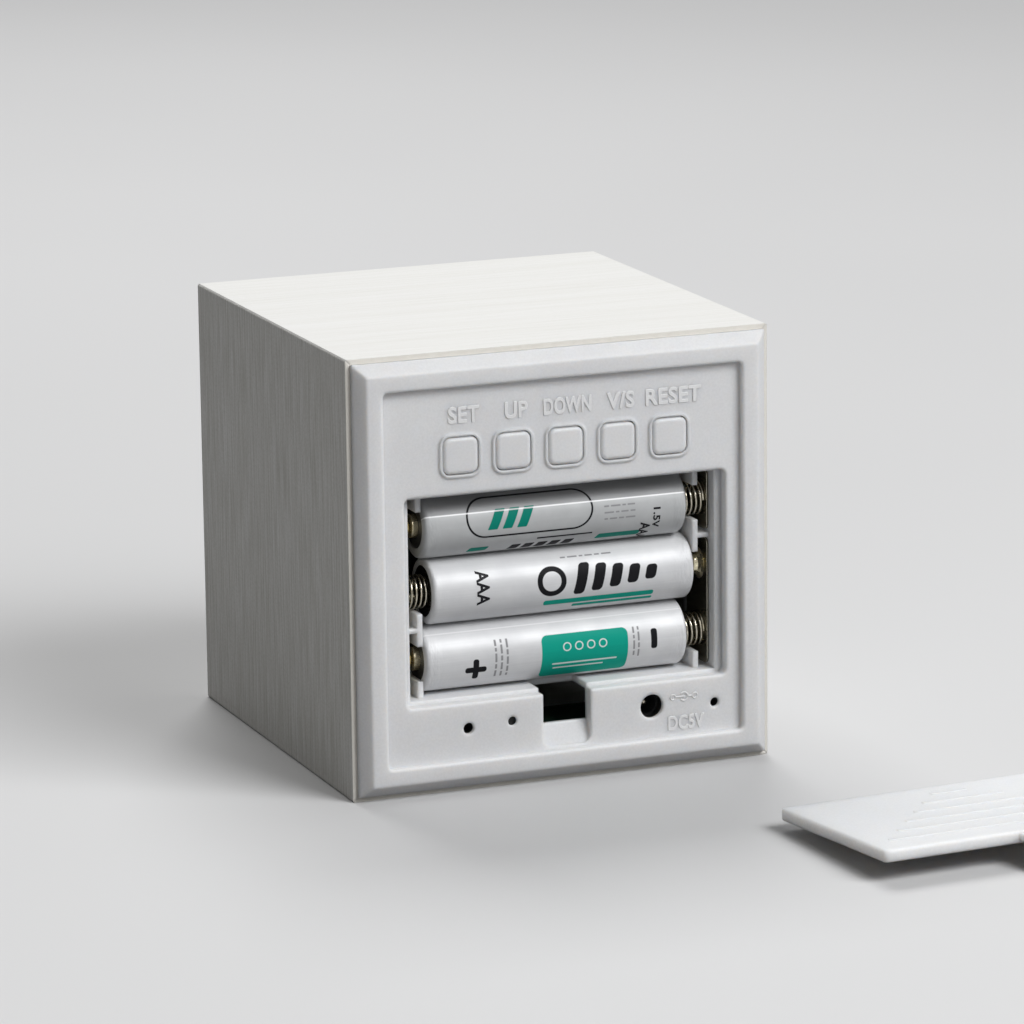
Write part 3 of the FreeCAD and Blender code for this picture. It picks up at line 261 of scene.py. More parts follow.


# Plated or bare metal: brushed or drawn lines, darker in patches, a painted highlight along the edges,
# and stretches along X painted as shade and as highlight.
def metal(name, look):
    material, tree = newMaterial(name)
    spot = place(tree)
    edge = useGroup(tree, edgeGroup, {"Radius": look["edge"]})
    surface = useGroup(tree, surfaceGroup, {
        "Vector": spot, "Scale": look["broad"], "Fine": look["fine"], "Depth": look["depth"],
        "Normal": edge["Normal"]})
    drawn = noise(tree, vectorCalc(tree, "MULTIPLY", spot, look["lines"]), 1.0, 3.0, 0.6)
    base = mixColor(tree, surface["Broad"], tone(*look["color"]), tone(*look["shade"]))
    streaks = calc(tree, "MULTIPLY", ramp(tree, drawn, 0.4, 0.7), 0.3)
    base = mixColor(tree, streaks, base, tone(*look["shade"]))
    across = put(tree, "SeparateXYZ", {0: spot}).outputs[0]
    # Stretches along X painted with shade and with highlight.
    for low, high, color in look.get("shadeAndHighlightBands", ()):
        inside = calc(tree, "MULTIPLY", ramp(tree, across, (low - 0.05) * mm, low * mm),
                      ramp(tree, across, (high + 0.05) * mm, high * mm))
        base = mixColor(tree, inside, base, tone(*color))
    # Painted highlight on rounded edges.
    edgeHighlight = calc(tree, "MULTIPLY", edge["Edge"], look["edgeHighlightShare"])
    base = mixColor(tree, edgeHighlight, base, tone(*look["edgeHighlightColor"]))
    rough = calc(tree, "ADD", look["rough"], calc(tree, "MULTIPLY", ramp(tree, drawn, 0.3, 0.7), 0.12))
    finishMaterial(tree, {"Base Color": base, "Roughness": rough, "Normal": surface["Normal"],
                          "Metallic": look["metallic"]})
    return material


# Wood-patterned film wrapped over the boards, and their raw rear edges, with a painted highlight along
# the edges.
def film(name, look):
    material, tree = newMaterial(name)
    spot = place(tree)
    normal = put(tree, "NewGeometry").outputs["Normal"]
    back, up = put(tree, "SeparateXYZ", {0: normal}).outputs[1:]
    onTop = ramp(tree, calc(tree, "ABSOLUTE", up), 0.6, 0.8)
    onFront = ramp(tree, calc(tree, "ABSOLUTE", back), 0.6, 0.8)
    raw = ramp(tree, back, 0.9, 0.98)
    level = calc(tree, "MAXIMUM", onTop, onFront)
    stretch = put(tree, "Mix", {0: level, 4: look["upright"], 5: look["level"]},
                  data_type="VECTOR").outputs[1]
    grain = useGroup(tree, grainGroup, {
        "Vector": vectorCalc(tree, "MULTIPLY", spot, stretch), "Spread": 1.0})
    edge = useGroup(tree, edgeGroup, {"Radius": 0.0004})
    base = mixColor(tree, grain["Streaks"], tone(*look["color"]), tone(*look["shade"]))
    share = ramp(tree, onTop, 0.0, 1.0, *look["lineShares"])
    base = mixColor(tree, calc(tree, "MULTIPLY", grain["Lines"], share), base, tone(*look["line"]))
    flecks = ramp(tree, noise(tree, spot, 2300.0, 2.0, 0.6), 0.4, 0.68)
    base = mixColor(tree, calc(tree, "MULTIPLY", flecks, calc(tree, "MULTIPLY", share, 0.55)), base,
                    tone(*look["line"]))
    fibres = noise(tree, vectorCalc(tree, "MULTIPLY", spot, (900.0, 3000.0, 900.0)), 1.0, 4.0, 0.7)
    core = mixColor(tree, ramp(tree, fibres, 0.3, 0.7), tone(*look["core"]), tone(*look["coreShade"]))
    base = mixColor(tree, raw, base, core)
    # Painted highlight on rounded edges.
    base = mixColor(tree, calc(tree, "MULTIPLY", edge["Edge"], 0.3), base, tone(*look["edgeHighlightColor"]))
    dust = useGroup(tree, dustGroup, {"Vector": spot, "Amount": 0.1})["Mask"]
    base = mixColor(tree, dust, base, tone(*look["dustColor"]))
    bump = put(tree, "Bump", {"Strength": 0.12, "Distance": 0.00006, "Height": grain["Height"],
                              "Normal": edge["Normal"]})
    rough = calc(tree, "ADD", look["rough"], calc(tree, "MULTIPLY", grain["Lines"], 0.12))
    rough = calc(tree, "ADD", rough, calc(tree, "MULTIPLY", raw, 0.35))
    finishMaterial(tree, {"Base Color": base, "Roughness": rough, "Normal": bump.outputs[0],
                          "Specular IOR Level": 0.4})
    return material


# Circuit board: lacquer over faint copper tracks.
def circuitBoard(name, look):
    material, tree = newMaterial(name)
    spot = place(tree)
    cells = put(tree, "TexVoronoi", {"Vector": spot, "Scale": 420.0}, distance="MANHATTAN").outputs[0]
    tracks = ramp(tree, calc(tree, "PINGPONG", cells, 0.12), 0.05, 0.07)
    flat = put(tree, "NewGeometry").outputs["Normal"]
    surface = useGroup(tree, surfaceGroup, {"Vector": spot, "Scale": 300.0, "Fine": 4000.0,
                                            "Depth": 0.05, "Normal": flat})
    base = mixColor(tree, tracks, tone(*look["color"]), tone(*look["track"]))
    base = mixColor(tree, calc(tree, "MULTIPLY", surface["Speckle"], 0.3), base, tone(*look["shade"]))
    finishMaterial(tree, {"Base Color": base, "Roughness": 0.38, "Normal": surface["Normal"]})
    return material


# Printed shrink sleeve of a cell, with painted shade above a given level and painted highlights along
# its seams. Places on it are in millimetres along and around the cell.
def sleeve(name, look):
    material, tree = newMaterial(name)
    spot = place(tree)
    x, y, z = put(tree, "SeparateXYZ", {0: spot}).outputs
    along = calc(tree, "MULTIPLY", x, 1000.0)
    rise = calc(tree, "SUBTRACT", z, look["axis"][1])
    out = calc(tree, "SUBTRACT", y, look["axis"][0])
    angle = calc(tree, "ARCTAN2", rise, out)
    around = calc(tree, "MULTIPLY", angle, look["radius"] * 1000.0)
    edge = useGroup(tree, edgeGroup, {"Radius": 0.0003})
    surface = useGroup(tree, surfaceGroup, {"Vector": spot, "Scale": 260.0, "Fine": 5000.0,
                                            "Depth": 0.04, "Normal": edge["Normal"]})
    brushed = noise(tree, vectorCalc(tree, "MULTIPLY", spot, (60.0, 3500.0, 3500.0)), 1.0, 2.0, 0.6)
    base = mixColor(tree, surface["Broad"], tone(*look["color"]), tone(*look["shade"]))
    streaks = calc(tree, "MULTIPLY", ramp(tree, brushed, 0.4, 0.7), 0.12)
    base = mixColor(tree, streaks, base, tone(*look["streak"]))
    # Painted shade over the sleeve above a given level.
    paintedShadeMask = ramp(tree, around, look["paintedShadeLevel"], look["paintedShadeLevel"] + 0.1)
    base = mixColor(tree, paintedShadeMask, base, tone(*look["paintedShadeColor"]))
    ink = None
    for color, shapes in look["print"]:
        mask = None
        for shape in shapes:
            at, level, long, tall, corner, slant, line = (*shape, 0.0, 0.0)[:7]
            here = {"Along": along, "Around": around, "At": at, "Level": level, "Slant": slant}
            one = useGroup(tree, patchGroup, {
                **here, "Half length": long, "Half height": tall, "Corner": corner})["Mask"]
            if line:
                hole = useGroup(tree, patchGroup, {
                    **here, "Half length": long - line, "Half height": tall - line,
                    "Corner": max(corner - line, 0.01)})["Mask"]
                one = calc(tree, "MULTIPLY", one, calc(tree, "SUBTRACT", 1.0, hole))
            mask = one if mask is None else calc(tree, "MAXIMUM", mask, one)
        base = mixColor(tree, mask, base, tone(*color))
        ink = mask if ink is None else calc(tree, "MAXIMUM", ink, mask)
    # Painted highlight along each seam of the sleeve.
    for seamLevel in look["seams"]:
        offset = calc(tree, "SUBTRACT", around, seamLevel)
        near = ramp(tree, calc(tree, "ABSOLUTE", offset), 0.16, 0.06)
        lit = calc(tree, "MULTIPLY", near, look["seamHighlightShare"])
        base = mixColor(tree, lit, base, tone(*look["seamHighlightColor"]))
    folds = noise(tree, vectorCalc(tree, "MULTIPLY", spot, (700.0, 260.0, 260.0)), 1.0, 3.0, 0.6)
    ends = ramp(tree, calc(tree, "ABSOLUTE", along), 18.5, 21.5, 0.0, 0.7)
    creases = put(tree, "Bump", {"Strength": ends, "Distance": 0.0004, "Height": folds,
                                 "Normal": surface["Normal"]}).outputs[0]
    rough = calc(tree, "ADD", 0.42, calc(tree, "MULTIPLY", surface["Broad"], 0.06))
    shine = calc(tree, "SUBTRACT", 0.34, calc(tree, "MULTIPLY", ink, 0.28))
    bare = calc(tree, "SUBTRACT", 1.0, ink)
    finishMaterial(tree, {"Base Color": base, "Roughness": rough, "Normal": creases,
                          "Metallic": calc(tree, "MULTIPLY", look["metallic"], bare),
                          "Specular IOR Level": shine})
    return material


# The panel's small holes in millimetres: x, z, radius, and from what depth their walls are painted dark
# as shade.
smallHoles = ((-14.5, 10.2, 1.93, 0.7), (16.0, 10.0, 0.9, 0.7), (8.8, 10.4, 0.73, 0.35),
              (-25.15, 9.75, 0.75, 0.6))
holeShadeColor = (0.015, 0.015, 0.015)
white = dict(color=(0.80, 0.80, 0.805), shade=(0.77, 0.77, 0.78), edgeHighlightColor=(0.86, 0.86, 0.86),
             edgeHighlightShare=0.3, edge=0.0003, broad=90.0, fine=2700.0, depth=0.26, rough=0.42, shine=0.4,
             glow=0.0, spread=0.0018, dust=0.12, dustColor=(0.45, 0.43, 0.4), pits=0.1)
soft = dict(white, glow=0.75, edge=0.00045)
looks = {
    "cover_plastic": dict(soft, edge=0.00065, spread=0.0024, holes=smallHoles),
    # The raised letters are moulded in the cover's plastic; here they are painted lighter as a
    # highlight.
    "label_plastic": dict(soft, color=(0.84, 0.84, 0.845), shade=(0.82, 0.82, 0.825), edge=0.00004,
                          glow=0.0, edgeHighlightShare=0.0, depth=0.05),
    "button_plastic": dict(soft, rough=0.36, edge=0.00035, color=(0.81, 0.81, 0.815), depth=0.06),
    "door_plastic": dict(soft, color=(0.88, 0.88, 0.885), shade=(0.86, 0.86, 0.865), rough=0.38,
                         edge=0.0006, broad=70.0, depth=0.04, glow=1.0, spread=0.004),
    "digit_moulding": dict(white, color=(0.62, 0.62, 0.60), shade=(0.55, 0.55, 0.53), rough=0.5),
    "diffuser_film": dict(white, color=(0.66, 0.66, 0.64), shade=(0.6, 0.6, 0.58), rough=0.6),
    "cell_washer": dict(white, color=(0.02, 0.02, 0.02), shade=(0.03, 0.03, 0.03), rough=0.42,
                        edgeHighlightColor=(0.07, 0.07, 0.07), dust=0.04),
    "dark_moulding": dict(white, color=(0.018, 0.018, 0.02), shade=(0.028, 0.028, 0.03), rough=0.5,
                          edgeHighlightColor=(0.06, 0.06, 0.06), dust=0.03),
    "sensor_resin": dict(white, color=(0.03, 0.022, 0.014), shade=(0.02, 0.015, 0.01), rough=0.4,
                         edgeHighlightColor=(0.1, 0.08, 0.05), dust=0.0),
    "speaker_paper": dict(white, color=(0.035, 0.035, 0.035), shade=(0.05, 0.048, 0.045), rough=0.9,
                          edgeHighlightColor=(0.07, 0.07, 0.07), fine=2600.0, depth=0.3, dust=0.02),
    "speaker_felt": dict(white, color=(0.012, 0.012, 0.012), shade=(0.02, 0.02, 0.02), rough=0.95,
                         edgeHighlightColor=(0.03, 0.03, 0.03), fine=3600.0, depth=0.3, dust=0.0, shine=0.1),
    "ribbon_sheath": dict(white, color=(0.3, 0.3, 0.31), shade=(0.25, 0.25, 0.26), rough=0.45,
                          edgeHighlightColor=(0.4, 0.4, 0.4), dust=0.02),
}
# Stretches along X, in millimetres, each with a colour of its own: painted shade on the cans' ends
# round the nubs and the base, and a painted golden highlight on the pressed buttons that stand out from
# the contact plates.
shadedCanEnds = ((20.0, 21.62, (0.03, 0.028, 0.025)), (-22.82, -21.2, (0.03, 0.028, 0.025)))
buttonHighlights = ((-25.66, 24.46, (0.92, 0.84, 0.6)),)
nickel = dict(color=(0.66, 0.62, 0.54), shade=(0.48, 0.43, 0.33), edgeHighlightColor=(0.8, 0.77, 0.7),
              edge=0.0001, broad=500.0, fine=5000.0, depth=0.08, rough=0.2, metallic=1.0,
              edgeHighlightShare=0.5, lines=(300.0, 300.0, 2500.0))
metals = {
    "cell_metal": dict(nickel, color=(0.95, 0.86, 0.62), shade=(0.7, 0.6, 0.38), rough=0.18,
                       metallic=0.85, shadeAndHighlightBands=shadedCanEnds),
    # Contact plates: the nickel painted dark as a reflection of the dark bay, a painted highlight along
    # the edges, and golden painted highlights on the buttons.
    "contact_plating": dict(nickel, color=(0.13, 0.125, 0.105), shade=(0.08, 0.075, 0.06), rough=0.14,
                            edgeHighlightColor=(0.9, 0.86, 0.72), metallic=0.9, edge=0.00015, edgeHighlightShare=0.9,
                            shadeAndHighlightBands=buttonHighlights),
    "spring_plating": dict(nickel, color=(0.8, 0.76, 0.66), shade=(0.5, 0.46, 0.36), rough=0.12,
                           lines=(2500.0, 400.0, 400.0), edge=0.00005, edgeHighlightShare=0.0),
    "jack_plating": dict(nickel, color=(0.7, 0.69, 0.66), rough=0.14),
    "can_aluminium": dict(nickel, color=(0.7, 0.7, 0.7), shade=(0.55, 0.55, 0.56), rough=0.35),
    "crystal_steel": dict(nickel, color=(0.6, 0.6, 0.6), shade=(0.45, 0.45, 0.46), rough=0.3),
    "speaker_steel": dict(nickel, color=(0.1, 0.1, 0.11), shade=(0.06, 0.06, 0.065), rough=0.5,
                          edgeHighlightColor=(0.2, 0.2, 0.2), metallic=0.6),
    "speaker_ferrite": dict(nickel, color=(0.06, 0.06, 0.065), shade=(0.04, 0.04, 0.042), rough=0.7,
                            edgeHighlightColor=(0.12, 0.12, 0.12), metallic=0.4),
    "screw_steel": dict(nickel, color=(0.55, 0.55, 0.56), shade=(0.4, 0.4, 0.41), rough=0.3),
}
filmLook = dict(color=(0.80, 0.797, 0.782), shade=(0.765, 0.76, 0.735), line=(0.40, 0.39, 0.325),
                lineShares=(0.42, 0.09), core=(0.80, 0.775, 0.72), coreShade=(0.76, 0.73, 0.67),
                edgeHighlightColor=(0.86, 0.855, 0.84), dustColor=(0.5, 0.48, 0.45), rough=0.42,
                upright=(1700.0, 1700.0, 75.0), level=(75.0, 1700.0, 1700.0))
boardLook = dict(color=(0.012, 0.03, 0.018), track=(0.02, 0.05, 0.03), shade=(0.008, 0.02, 0.012))

materials = {name: plastic(name, look) for name, look in looks.items()}
materials.update({name: metal(name, look) for name, look in metals.items()})
materials["case_film"] = film("case_film", filmLook)
materials["circuit_board"] = circuitBoard("circuit_board", boardLook)

# The sleeves: marks in plain shapes, each as centre, level, half length, half height, corner
# radius, slant and, for a ring, how wide its line is, all in millimetres but the slant.
black = (0.012, 0.012, 0.014)
teal = (0.008, 0.36, 0.27)
shadedTeal = (0.006, 0.22, 0.165)
pale = (0.70, 0.78, 0.76)
grey = (0.30, 0.30, 0.31)


# Rows of short dashes along the cell, and columns of them around it, where small print would be.
def smallLines(left, right, levels, step, gap):
    rows = []
    for row, level in enumerate(levels):
        at = left
        turn = row
        while at > right:
            half = (0.42, 0.8, 0.3, 0.62)[turn % 4]
            rows.append((at - half, level, half, step, 0.08))
            at -= 2 * half + gap
            turn += 1
    return rows


def smallColumns(left, count, top, bottom, half, step=0.95):
    rows = []
    for column in range(count):
        level = top
        turn = column
        while level > bottom:
            tall = (0.5, 0.28, 0.7, 0.4, 0.62)[turn % 5]
            rows.append((left - step * column, level - tall, half, tall, 0.06))
            level -= 2 * tall + 0.3
            turn += 1
    return rows


# Above its given level the sleeve is painted darker, as shade under the window's top edge; at 90 there
# is none to see.
sleeveBase = dict(color=(0.72, 0.725, 0.735), shade=(0.66, 0.665, 0.68),
                  streak=(0.45, 0.46, 0.48), metallic=0.1, seamHighlightColor=(0.93, 0.93, 0.94),
                  paintedShadeLevel=90.0, paintedShadeColor=(0.3, 0.305, 0.31))
sleeves = {
    "lower": dict(
        sleeveBase, seams=[4.9], seamHighlightShare=0.5, print=[
            (grey, smallColumns(10.4, 3, 2.9, -3.2, 0.17)
             + smallColumns(-12.6, 2, 2.6, -1.8, 0.15, 0.8)),
            (black, [(13.7, -1.6, 1.75, 0.48, 0.4), (13.7, -1.6, 0.48, 1.75, 0.4),
                     (-16.0, 0.4, 0.52, 1.6, 0.4)]),
            (teal, [(-4.4, -1.2, 7.2, 3.9, 1.0)]),
            (pale, [(-1.4 - 2.0 * k, 0.6, 0.7, 0.7, 0.68, 0.0, 0.2) for k in range(4)]
             + [(-4.4, -2.1, 5.4, 0.14, 0.1), (-3.4, -2.9, 4.2, 0.14, 0.1)]),
        ]),
    "middle": dict(
        sleeveBase, seams=[], seamHighlightShare=0.0, print=[
            (black, [(1.0, 0.7, 2.4, 2.4, 2.35, 0.0, 0.85)]
             + [(-4.0 - 2.9 * k, 0.7, 0.9, 2.5 - 0.34 * k, 0.6, -0.25) for k in range(5)]),
            (teal, [(-7.0, -3.0, 9.2, 0.5, 0.4), (-9.5, -4.2, 6.7, 0.36, 0.3)]),
            (grey, smallLines(-1.0, -9.0, (4.4,), 0.14, 0.35)),
        ]),
    # The upper cell's sleeve is the others' sleeve painted darker as shade, with its teal painted
    # darker for the same shade, and painted shade above its seam.
    "upper": dict(
        sleeveBase, color=(0.52, 0.53, 0.535), shade=(0.46, 0.47, 0.475),
        paintedShadeLevel=2.2, seams=[2.2], seamHighlightShare=0.85, print=[
            (black, [(4.5, 1.4, 10.5, 3.4, 3.39, 0.0, 0.32), (-1.5, -3.1, 4.6, 0.16, 0.1)]),
            (shadedTeal, [(10.0 - 2.4 * k, 0.9, 0.8, 1.6, 0.15, -0.45) for k in range(3)]
             + [(-10.6, -4.2, 3.6, 0.65, 0.3, -0.4), (12.6, -4.5, 1.6, 0.6, 0.3, -0.4)]),
            (black, [(6.5 - 2.2 * k, -4.9, 0.8, 0.8, 0.2, -0.4) for k in range(5)]),
            (grey, smallLines(-7.8, -12.8, (1.2, 0.2, -0.8), 0.13, 0.3)),
        ]),
}


def cellAxis(name):
    low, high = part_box(f"{name}_cell_sleeve")
    return (low[1] + high[1]) / 2, (low[2] + high[2]) / 2, (high[1] - low[1]) / 2


for name, look in sleeves.items():
    yMiddle, zMiddle, radius = cellAxis(name)
    look["axis"], look["radius"] = (yMiddle, zMiddle), radius
    materials[f"{name}_sleeve_print"] = sleeve(f"{name}_sleeve_print", look)

finishes = {
    "case_film": ["top_board", "bottom_board", "left_board", "right_board", "front_board"],
    "cover_plastic": ["rear_cover"],
    "button_plastic": [f"{name}_button" for name in ("set", "up", "down", "sound", "reset")],
    "door_plastic": ["battery_door"],
    "cell_metal": [f"{name}_cell_can" for name in sleeves],
    "cell_washer": [f"{name}_cell_washer" for name in sleeves],
    "spring_plating": [f"{name}_cell_spring" for name in sleeves],
    "contact_plating": [f"{side}_{part}_contact" for side in ("left", "right")
                        for part in ("upper", "lower")],
    "circuit_board": ["button_circuit_board", "main_circuit_board", "power_circuit_board"],
    "dark_moulding": [f"{name}_switch" for name in ("set", "up", "down", "sound", "reset")]
    + ["controller_chip", "power_jack"],
    "jack_plating": ["jack_pin"],
    "digit_moulding": ["digit_display"],
    "diffuser_film": ["display_diffuser"],
    "can_aluminium": ["capacitor"],
    "speaker_felt": ["microphone"],
    "crystal_steel": ["crystal"],
    "sensor_resin": ["temperature_sensor"],
    "speaker_steel": ["speaker_basket"],
    "speaker_paper": ["speaker_cone"],
    "speaker_ferrite": ["speaker_magnet"],
    "screw_steel": ["main_board_screws", "button_board_screws"],
    "ribbon_sheath": ["ribbon_cable"],
    "lower_sleeve_print": ["lower_cell_sleeve"],
    "middle_sleeve_print": ["middle_cell_sleeve"],
    "upper_sleeve_print": ["upper_cell_sleeve"],
}
for name, wearers in finishes.items():
    for wearer in wearers:
        mesh = nodes[wearer].data
        mesh.materials.clear()
        mesh.materials.append(materials[name])
bare = sorted(set(nodes) - {wearer for wearers in finishes.values() for wearer in wearers})
print("materials on", len(nodes) - len(bare), "nodes; without:", bare)


# Raised marks on the rear cover

def meshOfText(words, depth, bevel, swell):
    curve = bpy.data.curves.new("words", "FONT")
    curve.body = words
    curve.offset = swell
    curve.space_character = 1.06
    curve.extrude = depth
    curve.bevel_depth = bevel
    curve.bevel_resolution = 2
    curve.resolution_u = 6
    source = bpy.data.objects.new("words", curve)
    bpy.context.scene.collection.objects.link(source)
    bpy.context.view_layer.update()
    shape = source.evaluated_get(bpy.context.evaluated_depsgraph_get())
    mesh = bpy.data.meshes.new_from_object(shape)
    bpy.data.objects.remove(source)
    bpy.data.curves.remove(curve)
    return mesh


def spans(mesh):
    spots = [vertex.co for vertex in mesh.vertices]
    return [(min(spot[axis] for spot in spots), max(spot[axis] for spot in spots)) for axis in range(3)]


# One band of faces between two closed rings of as many places.
def joinRings(shape, first, second):
    count = len(first)
    for index in range(count):
        after = (index + 1) % count
        shape.faces.new((first[index], first[after], second[after], second[index]))


def meshOfShape(shape, name):
    bmesh.ops.recalc_face_normals(shape, faces=shape.faces)
    mesh = bpy.data.meshes.new(name)
    shape.to_mesh(mesh)
    shape.free()
    return mesh


def addPiece(name, mesh, material, body):
    mesh.name = name
    mesh.materials.clear()
    mesh.materials.append(material)
    piece = bpy.data.objects.new(name, mesh)
    bpy.context.scene.collection.objects.link(piece)
    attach(piece, body)
    return piece


# Letters read from +X towards -X on the panel; x and z are where they start and end, in millimetres.
rowLevels = (57.95, 60.6)
labels = {
    "labelSet": dict(words="SET", x=(18.75, 13.65), z=rowLevels),
    "labelUp": dict(words="UP", x=(9.5, 5.75), z=rowLevels),
    "labelDown": dict(words="DOWN", x=(3.15, -4.75), z=rowLevels),
    "labelVoice": dict(words="V/S", x=(-7.3, -11.85), z=rowLevels),
    "labelReset": dict(words="RESET", x=(-13.75, -23.0), z=rowLevels),
    "labelPower": dict(words="DC5V", x=(-17.2, -23.3), z=(5.95, 8.3)),
}
letterRise, letterSink = 0.12 * mm, 0.06 * mm
for name, label in labels.items():
    mesh = meshOfText(label["words"], depth=0.015, bevel=0.02, swell=0.014)
    (xLow, xHigh), (yLow, yHigh), (zLow, zHigh) = spans(mesh)
    for vertex in mesh.vertices:
        u = (vertex.co.x - xLow) / (xHigh - xLow)
        v = (vertex.co.y - yLow) / (yHigh - yLow)
        w = (vertex.co.z - zLow) / (zHigh - zLow)
        vertex.co = ((label["x"][0] + (label["x"][1] - label["x"][0]) * u) * mm,
                     panelFace - letterSink + (letterRise + letterSink) * w,
                     (label["z"][0] + (label["z"][1] - label["z"][0]) * v) * mm)
    addPiece(name, mesh, materials["label_plastic"], "case")


# A flat-topped raised line along a path on the panel; each place is in millimetres.
def raisedLine(shape, places, width, closed=False):
    points = [Vector((u * mm, 0, v * mm)) for u, v in places]
    profile = [(-0.5, -letterSink), (-0.5, letterRise * 0.55), (-0.28, letterRise),
               (0.28, letterRise), (0.5, letterRise * 0.55), (0.5, -letterSink)]
    rings = []
    count = len(points)
    for index, point in enumerate(points):
        before = points[index - 1] if closed or index else point
        after = points[(index + 1) % count] if closed or index < count - 1 else point
        way = (after - before).normalized()
        side = Vector((-way.z, 0, way.x))
        rings.append([shape.verts.new(point + side * (share * width * mm)
                                      + Vector((0, panelFace + rise, 0)))
                      for share, rise in profile])
    pairs = list(zip(rings, rings[1:])) + ([(rings[-1], rings[0])] if closed else [])
    for first, second in pairs:
        for index in range(len(profile) - 1):
            shape.faces.new((first[index], first[index + 1], second[index + 1], second[index]))
    if not closed:
        shape.faces.new(rings[0])
        shape.faces.new(list(reversed(rings[-1])))


# Places on a ring, or on an arc with both its ends.
def ringPlaces(x, z, radius, start=0, end=360, steps=28):
    stops = steps if end - start == 360 else steps + 1
    turns = [math.radians(start + (end - start) * step / steps) for step in range(stops)]
    return [(x + radius * math.cos(turn), z + radius * math.sin(turn)) for turn in turns]


# Polarity of the inlet: minus ring, line to the sleeve arc, dot, line to the plus ring.
polarity = dict(x=-19.9, z=11.25, width=0.26, ends=1.85, ring=0.42, lineEnd=1.45, arc=0.66, dot=0.1)
symbol = bmesh.new()
px, pz, wide = polarity["x"], polarity["z"], polarity["width"]
for end in (polarity["ends"], -polarity["ends"]):
    raisedLine(symbol, ringPlaces(px + end, pz, polarity["ring"]), wide * 0.8, closed=True)
raisedLine(symbol, ringPlaces(px, pz, polarity["arc"], 40, 320, 24), wide)
raisedLine(symbol, ringPlaces(px, pz, polarity["dot"]), 0.2, closed=True)
raisedLine(symbol, [(px + polarity["lineEnd"], pz), (px + polarity["dot"], pz)], wide)
raisedLine(symbol, [(px - polarity["arc"], pz), (px - polarity["lineEnd"], pz)], wide)
addPiece("polaritySymbol", meshOfShape(symbol, "polaritySymbol"), materials["label_plastic"],
         "case")
print("raised marks made")


# Springs: closer turns than the frame's, as one tube from the plate to the cell

def springMesh(name, wide, narrow, wire, turns):
    low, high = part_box(name)
    start, end = (low[0], high[0]) if low[0] < 0 else (high[0], low[0])
    yMiddle, zMiddle = (low[1] + high[1]) / 2, (low[2] + high[2]) / 2
    sense = 1 if end > start else -1
    inset = 0.5 * wire * mm
    steps = int(40 * turns)
    run = abs(end - start) - 2 * inset
    flat = 0.5 / turns
    route = []
    for step in range(steps + 1):
        share = step / steps
        rise = min(max((share - flat) / (1 - 2 * flat), 0), 1)
        radius = (wide + (narrow - wide) * share - wire) / 2 * mm
        turn = 2 * math.pi * turns * share
        route.append(Vector((start + sense * (inset + run * rise), yMiddle + radius * math.cos(turn),
                             zMiddle + radius * math.sin(turn))))
    sides = 10
    corners = [2 * math.pi * side / sides for side in range(sides)]
    shape = bmesh.new()
    rings = []
    for index, point in enumerate(route):
        way = (route[min(index + 1, len(route) - 1)] - route[max(index - 1, 0)]).normalized()
        side = way.cross(Vector((1, 0, 0))).normalized()
        lift = side.cross(way)
        rings.append([shape.verts.new(point + (side * math.cos(corner) + lift * math.sin(corner))
                                      * wire / 2 * mm) for corner in corners])
    for first, second in zip(rings, rings[1:]):
        joinRings(shape, first, second)
    shape.faces.new(rings[0])
    shape.faces.new(list(reversed(rings[-1])))
    mesh = meshOfShape(shape, name)
    for face in mesh.polygons:
        face.use_smooth = True
    return mesh


coil = dict(wide=5.6, narrow=5.4, wire=0.4, turns=5.5)
for name in sleeves:
    mesh = springMesh(f"{name}_cell_spring", **coil)
    spring = addPiece(f"{name}Coil", mesh, materials["spring_plating"], "case")
    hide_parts(f"{name}_cell_spring")
print("springs made")


# Contact plates: flat nickel with a pressed button where a cell's nub meets it

def contactMesh(name, buttonAt, look):
    low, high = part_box(name)
    wall, sense = (low[0], 1) if low[0] < 0 else (high[0], -1)
    corner = look["corner"] * mm
    outline = []
    for yEdge, zEdge, start in ((high[1], high[2], 0), (low[1], high[2], 90), (low[1], low[2], 180),
                                (high[1], low[2], 270)):
        yHub = yEdge - corner if yEdge == high[1] else yEdge + corner
        zHub = zEdge - corner if zEdge == high[2] else zEdge + corner
        for angle in range(start, start + 91, 15):
            turn = math.radians(angle)
            outline.append((yHub + corner * math.cos(turn), zHub + corner * math.sin(turn)))
    shape = bmesh.new()
    back = [shape.verts.new((wall, y, z)) for y, z in outline]
    face = [shape.verts.new((wall + sense * look["thick"] * mm, y, z)) for y, z in outline]
    joinRings(shape, back, face)
    shape.faces.new(back)
    shape.faces.new(face)
    if buttonAt is not None:
        yHub, zHub = buttonAt
        turns = [math.radians(angle) for angle in range(0, 360, 10)]
        rings = []
        for radius, rise in look["button"]:
            x = wall + sense * (look["thick"] - look["sunk"] + rise) * mm
            rings.append([shape.verts.new((x, yHub + radius * mm * math.cos(turn),
                                           zHub + radius * mm * math.sin(turn)))
                          for turn in turns])
        for first, second in zip(rings, rings[1:]):
            joinRings(shape, first, second)
        shape.faces.new(rings[-1])
        shape.faces.new(rings[0])
    return meshOfShape(shape, name)


# The button's outline goes from its foot in the plate to its crown: radius and rise.
plateLook = dict(thick=0.3, corner=1.0, sunk=0.1,
                 button=((2.5, 0.0), (2.45, 0.12), (2.0, 0.4), (1.6, 0.8), (1.5, 1.3),
                         (1.3, 1.65), (0.9, 1.83), (0.4, 1.9)))
buttons = {"left_upper_contact": None, "left_lower_contact": "middle",
           "right_upper_contact": "upper", "right_lower_contact": "lower"}
for name, cell in buttons.items():
    mesh = contactMesh(name, cellAxis(cell)[:2] if cell else None, plateLook)
    plate = addPiece(f"{name}Plate", mesh, materials["contact_plating"], "case")
    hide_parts(name)
print("contact plates made")


